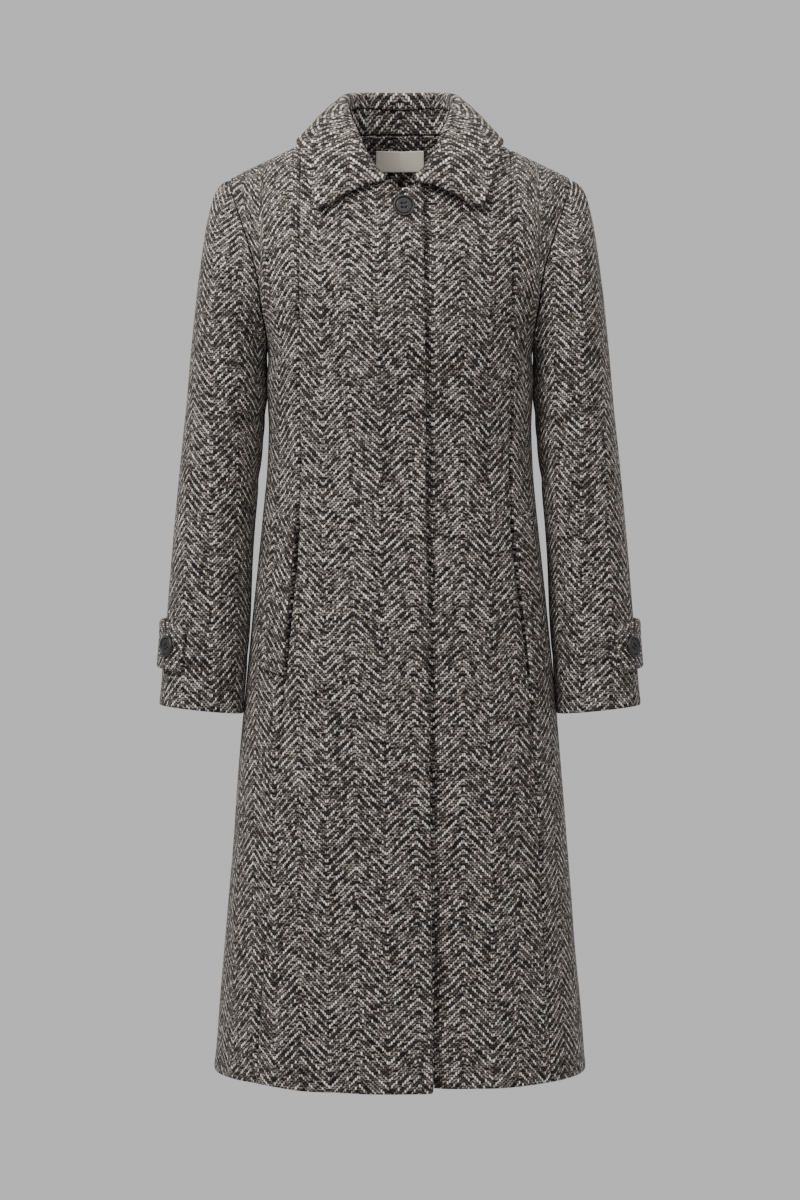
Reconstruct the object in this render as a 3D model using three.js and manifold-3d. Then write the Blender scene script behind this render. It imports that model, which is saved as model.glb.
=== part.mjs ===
// A women's single-breasted wool overcoat with a turn-down collar, shoulder princess seams, slanted
// welt pockets, two-piece sleeves with buttoned tabs and one showing neck button. It is modelled
// hollow, as it hangs when worn. Millimetres, +Z up, the front faces -Y, the wearer's right is -X.
// The origin is on the middle line between the two shoulder seams, level with the back neck.
import * as THREE from "three";
import Module from "manifold-3d";
import { mergeVertices } from "three/addons/utils/BufferGeometryUtils.js";

const wasm = await Module();
wasm.setup();

// Driving sizes
const CLOTH = 3; // coating cloth of the panels
const DOUBLE_CLOTH = 4; // collar, welts and tabs, which are two layers
const SEAM_GAP = 0.4; // clear width of a seam between two panels
const LAY_GAP = 0.4; // clear space under a piece that lies on another
const HEM_Z = -1060;
const FRONT_DROP = 4; // the overlapping front hangs this much lower at its edge
const UNDERARM_Z = -248;
const NECK_HALF = 75; // half width between the side neck points
const NECK_SIDE_Z = 7;
const FRONT_NECK_DROP = 78;
const BACK_NECK_RISE = 5;
const NECK_ROUND = 1.05; // 1 is an ellipse, more is flatter at the sides
const SHOULDER_FALL = 0.478; // drop per millimetre outwards
const TIP_X = 193;
const CHEST_TOP_Z = -230; // above this the front closes towards the shoulder seam
const BLADE_Z = -200; // above this the back closes towards the shoulder seam
const FRONT_ROUND = 2.3; // superellipse powers of the horizontal sections
const BACK_ROUND = 2.2;
const CHEST_CLOSE = 1.8; // powers of the closing curve over the shoulder
const BLADE_CLOSE = 2.6;
const FRONT_EXTENSION_TOP = 20.5; // the overlapping front runs this far past the middle
const FRONT_EXTENSION_HEM = 35;
const UNDER_EXTENSION = 22;
const OVER_LIFT = 3.2; // how far the overlapping front stands out of the body's surface
const UNDER_LIFT = -3.2; // and how far the one below it lies inside
const LIFT_FULL_X = 38; // both lifts are whole this near the middle, and fade out by the next
const LIFT_NONE_X = 70;
const BUTTON_D = 24;
const BUTTON_SIDES = 24;

// Half width, front depth and back depth of the coat at each height
const BODY = [
  { z: 60, half: 220, front: 122, back: 110 },
  { z: -49, half: 212, front: 124, back: 110 },
  { z: -93, half: 203, front: 125, back: 112 },
  { z: -142, half: 188, front: 127, back: 113 },
  { z: -185, half: 173, front: 130, back: 112 },
  { z: -223, half: 157.5, front: 131, back: 108 },
  { z: -248, half: 151, front: 130, back: 105 },
  { z: -275, half: 149.5, front: 126.5, back: 101 },
  { z: -336, half: 149.8, front: 116, back: 92 },
  { z: -400, half: 152.8, front: 113, back: 97 },
  { z: -480, half: 161, front: 117, back: 111 },
  { z: -580, half: 169.6, front: 123, back: 123 },
  { z: -700, half: 180.4, front: 131, back: 133 },
  { z: -850, half: 193.4, front: 141, back: 143 },
  { z: -1060, half: 211, front: 153, back: 155 },
];
// Distance of each princess seam from the middle
const PRINCESS = [
  { z: 0, right: 113, left: 126 },
  { z: -248, right: 113, left: 125.5 },
  { z: -440, right: 113.5, left: 125 },
  { z: -613, right: 128, left: 143.5 },
  { z: -1060, right: 160, left: 168 },
];
// Soft folds of the skirt, which start at one height and are deepest at the hem
const FOLDS_FROM_Z = -520;
const FOLD_GROWTH = 1.3; // power by which they deepen on the way down
const FOLDS = [
  { face: "front", x: -112, half: 30, height: 3.5 },
  { face: "front", x: -68, half: 28, height: -3.5 },
  { face: "front", x: 62, half: 30, height: -3.5 },
  { face: "front", x: 118, half: 32, height: 3.5 },
  { face: "back", x: -128, half: 34, height: 4.5 },
  { face: "back", x: -74, half: 32, height: -4 },
  { face: "back", x: 60, half: 34, height: -4.5 },
  { face: "back", x: 116, half: 34, height: 4.5 },
];
// The armhole from the underarm (along 0) to the shoulder tip (along 1), as angles round the body
const ARMHOLE = [
  { along: 0, z: -248, front: 90, back: 90 },
  { along: 0.14, z: -236, front: 77.7, back: 79 },
  { along: 0.255, z: -212, front: 70.5, back: 71 },
  { along: 0.41, z: -175, front: 62, back: 62.5 },
  { along: 0.575, z: -135, front: 60.8, back: 59.5 },
  { along: 0.77, z: -93, front: 62.5, back: 60.5 },
  { along: 0.9, z: -66, front: 65, back: 63.5 },
  { along: 1, z: -49.4, front: 66, back: 65.5 },
];
// The sleeve's outer and inner edge, the middle of its depth and half its depth at each height
const SLEEVE = [
  { z: -49, outer: 203.5, inner: 128, middle: 0, depth: 50 },
  { z: -60, outer: 207.5, inner: 131, middle: 0, depth: 53 },
  { z: -74, outer: 213, inner: 134, middle: 0, depth: 57 },
  { z: -108, outer: 221, inner: 140, middle: 0, depth: 66 },
  { z: -177, outer: 230.5, inner: 148, middle: 0, depth: 76 },
  { z: -248, outer: 238, inner: 151.6, middle: 0, depth: 77 },
  { z: -313, outer: 243.5, inner: 154, middle: -1, depth: 73 },
  { z: -382, outer: 250.5, inner: 159.3, middle: -4, depth: 68 },
  { z: -473, outer: 258.5, inner: 167, middle: -10, depth: 62 },
  { z: -560, outer: 265, inner: 172.5, middle: -17, depth: 56 },
  { z: -665, outer: 273, inner: 182.5, middle: -24, depth: 52 },
];
const CUFF_Z = -653;
const CUFF_TILT = 5; // the cuff is this much higher at its outer edge and lower at its inner edge
const CAP_BLEND = 22; // how soon the sleeve leaves the armhole's outline at the tip
const UNDERARM_BLEND = 60; // and how much later at the underarm
// The collar's fold line and outer edge, from the middle of the back (along 0) to the front end
const COLLAR = [
  { along: 0, foldX: 0, foldY: 62, foldZ: 53, edgeX: 0, edgeY: 86 },
  { along: 0.2, foldX: 43, foldY: 54, foldZ: 51.5, edgeX: 46, edgeY: 78 },
  { along: 0.3, foldX: 59, foldY: 38, foldZ: 47.5, edgeX: 71, edgeY: 64 },
  { along: 0.4, foldX: 66, foldY: 16, foldZ: 38.5, edgeX: 98, edgeY: 36 },
  { along: 0.5, foldX: 63.5, foldY: -9, foldZ: 21.5, edgeX: 113, edgeY: 1 },
  { along: 0.6, foldX: 54, foldY: -40, foldZ: -5, edgeX: 114.5, edgeY: -25 },
  { along: 0.7, foldX: 45.8, foldY: -59.5, foldZ: -25.5, edgeX: 110, edgeY: -46 },
  { along: 0.8, foldX: 38, foldY: -75, foldZ: -41.5, edgeX: 103.5, edgeY: -64 },
  { along: 0.9, foldX: 28.5, foldY: -87, foldZ: -54, edgeX: 95.5, edgeY: -79 },
  { along: 1, foldX: 18, foldY: -97, foldZ: -64, edgeX: 86, edgeY: -91 },
];
const FOLD_RADIUS_BACK = 5; // of the collar's roll, to the middle of its cloth
const FOLD_RADIUS_FRONT = 3;
const FOLD_INSIDE_BACK = 12; // the fall reaches this far down inside the neck before the stand starts
const FOLD_INSIDE_FRONT = 3.5;
const COLLAR_ANGLE = 76.4; // the collar ends at this angle round the front neckline
const STAND_END = 0.9;

const clamp = (v, low, high) => Math.min(high, Math.max(low, v));
const mix = (a, b, t) => a + (b - a) * t;
const rad = (degrees) => (degrees * Math.PI) / 180;
const vec = (x, y, z) => new THREE.Vector3(x, y, z);
const flipped = (points) => points.map((p) => vec(-p.x, p.y, p.z));
const signedPower = (v, p) => Math.sign(v) * Math.abs(v) ** p;
function smoothstep(from, to, v) {
  const t = clamp((v - from) / (to - from), 0, 1);
  return t * t * (3 - 2 * t);
}

// A smooth curve through one column of a table, against another column
function follow(table, key, value) {
  const rows = [...table].sort((a, b) => a[key] - b[key]);
  const slope = rows.map((_, i) => {
    const a = rows[Math.max(0, i - 1)];
    const b = rows[Math.min(rows.length - 1, i + 1)];
    return (b[value] - a[value]) / (b[key] - a[key]);
  });
  return (at) => {
    const v = clamp(at, rows[0][key], rows[rows.length - 1][key]);
    let i = 0;
    while (i < rows.length - 2 && v > rows[i + 1][key]) i++;
    const h = rows[i + 1][key] - rows[i][key];
    const t = (v - rows[i][key]) / h;
    const a = rows[i][value];
    const b = rows[i + 1][value];
    return (
      a * (1 + 2 * t) * (1 - t) ** 2 +
      slope[i] * h * t * (1 - t) ** 2 +
      b * t * t * (3 - 2 * t) +
      slope[i + 1] * h * t * t * (t - 1)
    );
  };
}

const bodyHalf = follow(BODY, "z", "half");
const bodyFront = follow(BODY, "z", "front");
const bodyBack = follow(BODY, "z", "back");
const LEFT = 1;
const RIGHT = -1;
const princessX = { [RIGHT]: follow(PRINCESS, "z", "right"), [LEFT]: follow(PRINCESS, "z", "left") };
const FRONT = -1;
const BACK = 1;

// The two faces of the body: its power, the depth of its sections and how it closes over the shoulder
const FACES = {
  [FRONT]: { power: FRONT_ROUND, depth: bodyFront, from: CHEST_TOP_Z, close: CHEST_CLOSE },
  [BACK]: { power: BACK_ROUND, depth: bodyBack, from: BLADE_Z, close: BLADE_CLOSE },
};
const shoulderZ = (x) => NECK_SIDE_Z - SHOULDER_FALL * (Math.abs(x) - NECK_HALF);

// The angle round the body, from the middle (0) to the side (90 degrees), of a point at x
const angleAt = (face, x, z) =>
  Math.asin(signedPower(clamp(x / bodyHalf(z), -1, 1), FACES[face].power / 2));

// How far the skirt's folds stand out of the plain surface
function foldHeight(face, x, z) {
  const name = face === FRONT ? "front" : "back";
  const share = clamp((FOLDS_FROM_Z - z) / (FOLDS_FROM_Z - HEM_Z), 0, 1);
  let height = 0;
  for (const fold of FOLDS) {
    const away = (x * bodyHalf(HEM_Z)) / bodyHalf(z) - fold.x;
    if (fold.face === name) height += fold.height * Math.exp(-((away / fold.half) ** 2));
  }
  return height * share ** 1.3;
}

// A point of the body's outer surface. The angle is negative on the wearer's right.
function bodyPoint(face, angle, z) {
  const { power, depth, from, close } = FACES[face];
  const x = bodyHalf(z) * signedPower(Math.sin(angle), 2 / power);
  const t = clamp((z - from) / (shoulderZ(x) - from), 0, 1);
  const ring = Math.max(0, Math.cos(angle)) ** (2 / power);
  const y = depth(z) * ring * (1 - t ** close) ** (1 / close);
  return vec(x, face * (y + foldHeight(face, x, z) * Math.min(1, 2 * ring)), z);
}

// The outward direction of the body's surface, from points a little to each side. The surface ends in
// a ridge at the shoulder seam, so the direction there is taken just below it.
const TURN_STEP = 0.004;
const HEIGHT_STEP = 0.4;
const BELOW_RIDGE = 2.5;
function bodyNormal(face, angle, z) {
  const level = Math.min(z, shoulderZ(bodyPoint(face, angle, z).x) - BELOW_RIDGE);
  const limit = Math.PI / 2 - 2 * TURN_STEP;
  const turn = clamp(angle, -limit, limit);
  const across = bodyPoint(face, turn + TURN_STEP, level).sub(bodyPoint(face, turn - TURN_STEP, level));
  const up = bodyPoint(face, turn, level + HEIGHT_STEP).sub(bodyPoint(face, turn, level - HEIGHT_STEP));
  const n = across.cross(up).normalize();
  return n.y * face < 0 ? n.negate() : n;
}

// Height of the body's surface over a point seen from above, near the shoulders. Each pass works the
// depth of the section out again at the height that the last one gave.
const HEIGHT_PASSES = 12;
function heightOver(x, y) {
  const face = y < 0 ? FRONT : BACK;
  const { power, depth, from, close } = FACES[face];
  let z = shoulderZ(x);
  for (let i = 0; i < HEIGHT_PASSES; i++) {
    const ring = (1 - clamp(Math.abs(x) / bodyHalf(z), 0, 0.999) ** power) ** (1 / power);
    const share = clamp(Math.abs(y) / (depth(z) * ring), 0, 1);
    z = from + (shoulderZ(x) - from) * (1 - share ** close) ** (1 / close);
  }
  return { face, z };
}

// A closed wall between an outer and an inner grid of points
function wall(outer, inner) {
  const rows = outer.length;
  const cols = outer[0].length;
  const points = [...outer.flat(), ...inner.flat()];
  const at = (layer, i, j) => layer * rows * cols + i * cols + j;
  const faces = [];
  const quad = (a, b, c, d) => faces.push(a, b, c, a, c, d);
  for (let i = 0; i < rows - 1; i++) {
    for (let j = 0; j < cols - 1; j++) {
      quad(at(0, i, j), at(0, i, j + 1), at(0, i + 1, j + 1), at(0, i + 1, j));
      quad(at(1, i, j), at(1, i + 1, j), at(1, i + 1, j + 1), at(1, i, j + 1));
    }
  }
  for (let j = 0; j < cols - 1; j++) {
    quad(at(0, 0, j + 1), at(0, 0, j), at(1, 0, j), at(1, 0, j + 1));
    quad(at(0, rows - 1, j), at(0, rows - 1, j + 1), at(1, rows - 1, j + 1), at(1, rows - 1, j));
  }
  for (let i = 0; i < rows - 1; i++) {
    quad(at(0, i, 0), at(0, i + 1, 0), at(1, i + 1, 0), at(1, i, 0));
    quad(at(0, i + 1, cols - 1), at(0, i, cols - 1), at(1, i, cols - 1), at(1, i + 1, cols - 1));
  }
  return solidGeometry(points, faces);
}

// A geometry whose faces point outwards, whichever way they were listed
function solidGeometry(points, faces) {
  let volume = 0;
  for (let i = 0; i < faces.length; i += 3) {
    const [a, b, c] = faces.slice(i, i + 3).map((k) => points[k]);
    volume += a.dot(b.clone().cross(c));
  }
  if (volume < 0) faces.reverse();
  const geometry = new THREE.BufferGeometry();
  geometry.setAttribute(
    "position",
    new THREE.Float32BufferAttribute(points.flatMap((p) => p.toArray()), 3),
  );
  geometry.setIndex(faces);
  return geometry;
}

// Draws the edge rows and columns of a grid in by half a seam
function drawIn(grids, edges) {
  const [outer] = grids;
  const last = outer.length - 1;
  const end = outer[0].length - 1;
  const pull = (grid, i, j, ni, nj, amount) => {
    const step = grid[ni][nj].clone().sub(grid[i][j]);
    grid[i][j].addScaledVector(step.normalize(), amount);
  };
  for (const grid of grids) {
    for (let i = 0; i <= last; i++) {
      if (edges.first) pull(grid, i, 0, i, 1, SEAM_GAP / 2);
      if (edges.last) pull(grid, i, end, i, end - 1, SEAM_GAP / 2);
    }
    for (let j = 0; j <= end; j++) {
      if (edges.bottom) pull(grid, 0, j, 1, j, SEAM_GAP / 2);
      if (edges.top) pull(grid, last, j, last - 1, j, SEAM_GAP / 2);
    }
  }
}

const LOWER_ROWS = 17; // from the hem to the underarm
const UPPER_ROWS = 12; // from the underarm to the shoulder or neck
const TOP_ROW = LOWER_ROWS + UPPER_ROWS;
const evenly = (n) => Array.from({ length: n + 1 }, (_, i) => i / n);

// The armhole in angle round the body and height
const armholeZ = follow(ARMHOLE, "along", "z");
const armholeAngle = {
  [FRONT]: follow(ARMHOLE, "along", "front"),
  [BACK]: follow(ARMHOLE, "along", "back"),
};

// The neckline, from the side neck point (0 degrees) to the middle (90 degrees) and past it
function neckline(face, degrees) {
  const turn = rad(degrees);
  const x = NECK_HALF * signedPower(Math.cos(turn), NECK_ROUND);
  const z =
    face === FRONT
      ? NECK_SIDE_Z - FRONT_NECK_DROP * Math.sin(turn) ** NECK_ROUND
      : NECK_SIDE_Z + BACK_NECK_RISE * Math.sin(turn) ** 4;
  return { angle: angleAt(face, x, z), z };
}
const shoulder = (face, x) => ({ angle: angleAt(face, x, shoulderZ(x)), z: shoulderZ(x) });
const armhole = (face, t) =>
  t < 1 ? { angle: rad(armholeAngle[face](t)), z: armholeZ(t) } : shoulder(face, TIP_X);

// Where a body panel lies, as an angle and a height. across runs from its first edge (0) to its last
// (1). up runs from the hem (0) to the underarm (1) and on to the shoulder or neck (2). Above the
// underarm the panel is a patch between its four edges.
function panelPlace(panel, across, up) {
  const low = (z) => mix(panel.firstEdge(z), panel.lastEdge(z), across);
  if (up < 1) {
    const z = mix(panel.hem(across), UNDERARM_Z, up);
    return { angle: low(z), z };
  }
  const t = up - 1;
  const riseShare = Math.sin((t * Math.PI) / 2);
  const topFirst = panel.top(0);
  const topLast = panel.top(1);
  const top = panel.top(across);
  const firstZ = mix(UNDERARM_Z, topFirst.z, riseShare);
  const lastZ = mix(UNDERARM_Z, topLast.z, riseShare);
  const last = panel.armhole ? armhole(panel.face, t) : { angle: panel.lastEdge(lastZ), z: lastZ };
  const angleFirst = mix(panel.firstEdge(UNDERARM_Z), topFirst.angle, t);
  const angleLast = mix(panel.lastEdge(UNDERARM_Z), topLast.angle, t);
  const angleUp = mix(low(UNDERARM_Z), top.angle, t) - mix(angleFirst, angleLast, across);
  const zUp = mix(UNDERARM_Z, top.z, riseShare) - mix(firstZ, lastZ, across);
  return {
    angle: mix(panel.firstEdge(firstZ), last.angle, across) + angleUp,
    z: mix(firstZ, last.z, across) + zUp,
  };
}

// Outer and inner grids of a body panel. panel.lift moves the cloth out of the body's surface, and
// panel.inward replaces the inward direction where a panel meets another at an angle.
function panelGrids(panel) {
  const { face, side, cols } = panel;
  const outer = [];
  const inner = [];
  for (let i = 0; i <= TOP_ROW; i++) {
    outer.push([]);
    inner.push([]);
    const up = i < LOWER_ROWS ? i / LOWER_ROWS : 1 + (i - LOWER_ROWS) / UPPER_ROWS;
    for (let j = 0; j <= cols; j++) {
      const { angle, z } = panelPlace(panel, j / cols, up);
      const n = bodyNormal(face, side * angle, z);
      const p = bodyPoint(face, side * angle, z);
      p.addScaledVector(n, panel.lift(side * p.x));
      outer[i].push(p);
      inner[i].push(p.clone().addScaledVector(panel.inward(i, j, n), -CLOTH));
    }
  }
  return [outer, inner];
}

const flatY = (n) => vec(n.x, 0, n.z).normalize();
const flatX = (n) => vec(0, n.y, n.z).normalize();

// The sleeve's outer surface. t runs round the armhole half from the underarm to the tip, v down the sleeve.
const sleeveAt = Object.fromEntries(
  ["outer", "inner", "middle", "depth"].map((name) => [name, follow(SLEEVE, "z", name)]),
);
function sleeveRing(z, turn) {
  const half = (sleeveAt.outer(z) - sleeveAt.inner(z)) / 2;
  return vec(
    sleeveAt.inner(z) + half + half * Math.cos(turn),
    sleeveAt.middle(z) - sleeveAt.depth(z) * Math.sin(turn),
    z,
  );
}
function sleevePoint(face, t, v) {
  const a = armhole(face, t);
  const start = bodyPoint(face, a.angle, a.z);
  const turn = -face * Math.PI * (1 - t);
  const end = CUFF_Z + CUFF_TILT * Math.cos(turn);
  const z = mix(start.z, end, v);
  const blend = CAP_BLEND + UNDERARM_BLEND * Math.sin(turn / 2) ** 2;
  const share = clamp(1 - (start.z - z) / blend, 0, 1) ** 3;
  return sleeveRing(z, turn).add(start.sub(sleeveRing(start.z, turn)).multiplyScalar(share));
}
const ROUND_STEP = 0.01;
const DOWN_STEP = 0.004;
function sleeveNormal(face, t, v) {
  const midT = clamp(t, ROUND_STEP, 1 - ROUND_STEP);
  const midV = clamp(v, DOWN_STEP, 1 - DOWN_STEP);
  const round = sleevePoint(face, midT + ROUND_STEP, midV).sub(sleevePoint(face, midT - ROUND_STEP, midV));
  const down = sleevePoint(face, midT, midV + DOWN_STEP).sub(sleevePoint(face, midT, midV - DOWN_STEP));
  const n = round.cross(down).normalize();
  const p = sleevePoint(face, t, v);
  const centre = (sleeveAt.outer(p.z) + sleeveAt.inner(p.z)) / 2;
  if (n.x * (p.x - centre) + n.y * (p.y - sleeveAt.middle(p.z)) < 0) n.negate();
  return t <= 0 || t >= 1 ? flatY(n) : n;
}

// Outward directions of the body's and the sleeve's edge at the armhole. They are one shared
// direction where the cloth bends over a ridge, and each its own where the walls run back to back.
const RIDGE_FROM = 0.35; // of the dot product of the two
function armholeEdges(face, t, side = LEFT) {
  const a = armhole(face, t);
  const n = bodyNormal(face, a.angle, a.z);
  const body = t >= 1 || t <= 0 ? flatY(n) : n;
  const sleeve = sleeveNormal(face, t, 0);
  const share = smoothstep(0, RIDGE_FROM, body.dot(sleeve));
  const onSide = (v) => v.normalize().multiply(vec(side, 1, 1));
  return {
    body: onSide(body.clone().addScaledVector(sleeve, share)),
    sleeve: onSide(sleeve.clone().addScaledVector(body, share)),
  };
}

// The inward directions of a panel that ends at the side seam and the armhole
function sideEdges({ face, side, cols }, shoulderFrom) {
  return (i, j, n) => {
    if (j === cols && i > LOWER_ROWS) return armholeEdges(face, (i - LOWER_ROWS) / UPPER_ROWS, side).body;
    if (j === cols || (i === TOP_ROW && j >= shoulderFrom)) return flatY(n);
    return j === 0 && face === BACK ? flatX(n) : n;
  };
}

// Side front: from the princess seam to the side seam and the armhole
const SIDE_COLS = 6;
function sideFront(side) {
  const panel = {
    face: FRONT,
    side,
    cols: SIDE_COLS,
    armhole: true,
    firstEdge: (z) => angleAt(FRONT, princessX[side](z), z),
    lastEdge: () => Math.PI / 2,
    top: (across) => shoulder(FRONT, mix(princessX[side](0), TIP_X, across)),
    hem: () => HEM_Z,
    lift: () => 0,
  };
  panel.inward = sideEdges(panel, 0);
  const grids = panelGrids(panel);
  drawIn(grids, { first: true, last: true, top: true });
  return grids;
}

// Front: from the princess seam past the middle to the front edge. Along its top lie the shoulder
// seam, the neckline under the collar and the neckline from the collar's end to the front edge.
const FRONT_COLS = 10;
const FRONT_SHOULDER_END = 0.3;
const FRONT_COLLAR_END = 0.8;
const DROP_FROM = 0.55; // the hem starts to fall towards the front edge here
function front(side, extension, lift, hemDrop) {
  const pastMiddle = Math.asin((extension(NECK_SIDE_Z - FRONT_NECK_DROP) / NECK_HALF) ** (1 / NECK_ROUND));
  const lastDegrees = 90 + THREE.MathUtils.radToDeg(pastMiddle);
  const panel = {
    face: FRONT,
    side,
    cols: FRONT_COLS,
    firstEdge: (z) => angleAt(FRONT, princessX[side](z), z),
    lastEdge: (z) => angleAt(FRONT, -extension(z), z),
    top: (across) => {
      if (across < FRONT_SHOULDER_END) {
        return shoulder(FRONT, mix(princessX[side](0), NECK_HALF, across / FRONT_SHOULDER_END));
      }
      const share = (across - FRONT_SHOULDER_END) / (FRONT_COLLAR_END - FRONT_SHOULDER_END);
      if (share <= 1) return neckline(FRONT, COLLAR_ANGLE * share);
      const past = (across - FRONT_COLLAR_END) / (1 - FRONT_COLLAR_END);
      return neckline(FRONT, mix(COLLAR_ANGLE, lastDegrees, past));
    },
    hem: (across) => HEM_Z - hemDrop * smoothstep(DROP_FROM, 1, across),
    lift,
    inward: (i, j, n) => (i === TOP_ROW && j <= FRONT_SHOULDER_END * FRONT_COLS ? flatY(n) : n),
  };
  const grids = panelGrids(panel);
  drawIn(grids, { first: true, top: true });
  return grids;
}

// How far a front runs past the middle, from its neck to its hem
const frontNeckZ = NECK_SIDE_Z - FRONT_NECK_DROP;
const extensionAt = (top, hem) => (z) =>
  mix(top, hem, clamp((z - frontNeckZ) / (HEM_Z - frontNeckZ), 0, 1));

// Back: from the middle seam to the side seam and the armhole, with its neckline first along the top
const BACK_COLS = 11;
const BACK_NECK_COLS = 5;
function back(side) {
  const neckEnd = BACK_NECK_COLS / BACK_COLS;
  const panel = {
    face: BACK,
    side,
    cols: BACK_COLS,
    armhole: true,
    firstEdge: () => 0,
    lastEdge: () => Math.PI / 2,
    top: (across) =>
      across < neckEnd
        ? neckline(BACK, 90 * (1 - across / neckEnd))
        : shoulder(BACK, mix(NECK_HALF, TIP_X, (across - neckEnd) / (1 - neckEnd))),
    hem: () => HEM_Z,
    lift: () => 0,
  };
  panel.inward = sideEdges(panel, BACK_NECK_COLS);
  const grids = panelGrids(panel);
  drawIn(grids, { first: true, last: true, top: true });
  return grids;
}

// Two-piece sleeve: the upper sleeve covers the outside, the under sleeve the inside. Its columns are
// the armhole's rows, and its own rows are closer where it leaves the armhole.
const SLEEVE_ROWS = [0, 0.012, 0.03, 0.06, 0.1, 0.16, 0.23, 0.31, 0.4, 0.5, 0.6, 0.7, 0.8, 0.9, 1];
const FRONT_SEAM_ROW = 4; // armhole rows from the underarm to the seams between the two
const BACK_SEAM_ROW = 5;
function sleevePiece(columns) {
  const outer = SLEEVE_ROWS.map((v) => columns.map(([face, t]) => sleevePoint(face, t, v)));
  const inner = SLEEVE_ROWS.map((v, i) =>
    columns.map(([face, t], j) => {
      const n = v === 0 ? armholeEdges(face, t).sleeve : sleeveNormal(face, t, v);
      return outer[i][j].clone().addScaledVector(n, -CLOTH);
    }),
  );
  const grids = [outer, inner];
  drawIn(grids, { first: true, last: true, bottom: true });
  return grids;
}
function armholeRows(face, from, to) {
  const step = Math.sign(to - from);
  return Array.from({ length: Math.abs(to - from) + 1 }, (_, k) => [face, (from + step * k) / UPPER_ROWS]);
}
const upperSleeve = () =>
  sleevePiece([
    ...armholeRows(FRONT, FRONT_SEAM_ROW, UPPER_ROWS),
    ...armholeRows(BACK, UPPER_ROWS - 1, BACK_SEAM_ROW),
  ]);
const underSleeve = () =>
  sleevePiece([...armholeRows(FRONT, FRONT_SEAM_ROW, 0), ...armholeRows(BACK, 1, BACK_SEAM_ROW)]);

// The collar is one half, from the middle of the back (q 0) to the front end (q 1), and its mirror
// image. Its lower edge follows the neckline, with the side neck points at q 0.5.
const collarAt = Object.fromEntries(
  ["foldX", "foldY", "foldZ", "edgeX", "edgeY"].map((name) => [name, follow(COLLAR, "along", name)]),
);
function neckSeam(q) {
  const face = q <= 0.5 ? BACK : FRONT;
  const place = q <= 0.5 ? neckline(BACK, 90 * (1 - 2 * q)) : neckline(FRONT, COLLAR_ANGLE * (2 * q - 1));
  return {
    p: bodyPoint(face, place.angle, place.z),
    n: bodyNormal(face, place.angle, place.z),
  };
}
const foldPoint = (q) => vec(collarAt.foldX(q), collarAt.foldY(q), collarAt.foldZ(q));

// Moves a point out until it is clear of the body's surface
const CLEAR_PASSES = 4;
function clearOfBody(p, clear) {
  for (let i = 0; i < CLEAR_PASSES; i++) {
    const { face, z } = heightOver(p.x, p.y);
    const n = bodyNormal(face, angleAt(face, p.x, z), z);
    const away = (p.z - z) * Math.abs(n.z);
    if (away < clear) p.addScaledVector(n, clear - away);
  }
  return p;
}

// One section through the fall, as points of its middle layer: a short leg down inside the neck, the
// roll over the fold line, and the leaf that lies on the body
const LEAF_OFFSET = 4; // height of the leaf's middle layer over the body at its outer edge
const LEAF_SPRING = 3; // and how much more it is at least near the fold
const LEAF_BULGE = 7; // how far the leaf arches between its two ends
const LEAF_LEAN = 0.6; // upward share of the direction in which it arches
const LEAF_ARCH = 0.8; // below 1 the arch is highest nearer the fold
const LEG_STEPS = 2;
const ROLL_STEPS = 3;
const LEAF_STEPS = 6;
const FOLD_STEP = 0.02;
function fallSection(q) {
  const fold = foldPoint(q);
  const seam = neckSeam(q).p;
  const x = collarAt.edgeX(q);
  const y = collarAt.edgeY(q);
  const { face, z } = heightOver(x, y);
  const edge = vec(x, y, z).addScaledVector(bodyNormal(face, angleAt(face, x, z), z), LEAF_OFFSET);
  const along = foldPoint(Math.min(1, q + FOLD_STEP)).sub(foldPoint(Math.max(0, q - FOLD_STEP)));
  if (q === 0) along.set(1, 0, 0);
  along.normalize();
  const square = (v) => v.addScaledVector(along, -v.dot(along)).normalize();
  const down = square(seam.clone().sub(fold));
  const away = square(edge.clone().sub(fold));
  const up = square(down.clone().add(away).negate());
  const out = up.clone().cross(along);
  const leg = mix(FOLD_INSIDE_BACK, FOLD_INSIDE_FRONT, smoothstep(0, 1, q));
  const radius = mix(FOLD_RADIUS_BACK, FOLD_RADIUS_FRONT, smoothstep(0.5, 1, q));
  const points = [];
  for (let k = LEG_STEPS; k > 0; k--) {
    points.push(fold.clone().addScaledVector(out, -radius).addScaledVector(down, (leg * k) / LEG_STEPS));
  }
  for (let k = 0; k <= ROLL_STEPS; k++) {
    const turn = Math.PI * (k / ROLL_STEPS);
    const p = fold.clone().addScaledVector(out, -radius * Math.cos(turn));
    points.push(p.addScaledVector(up, radius * Math.sin(turn)));
  }
  const start = points[points.length - 1].clone();
  const lean = vec(out.x, out.y, LEAF_LEAN).normalize();
  for (let k = 1; k <= LEAF_STEPS; k++) {
    const s = k / LEAF_STEPS;
    const arch = LEAF_BULGE * Math.sin(Math.PI * s ** LEAF_ARCH);
    const p = start.clone().lerp(edge, s).addScaledVector(lean, arch);
    points.push(clearOfBody(p, LEAF_OFFSET + LEAF_SPRING * (1 - s)));
  }
  return points;
}

// Inward and outward grids of a sheet given by its middle layer
function thicken(middle, thickness) {
  const rows = middle.length;
  const cols = middle[0].length;
  const shifted = (amount) =>
    middle.map((row, i) =>
      row.map((p, j) => {
        const across = row[Math.min(cols - 1, j + 1)].clone().sub(row[Math.max(0, j - 1)]);
        const down = middle[Math.min(rows - 1, i + 1)][j].clone().sub(middle[Math.max(0, i - 1)][j]);
        return p.clone().addScaledVector(across.cross(down).normalize(), amount);
      }),
    );
  return [shifted(thickness / 2), shifted(-thickness / 2)];
}

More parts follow.
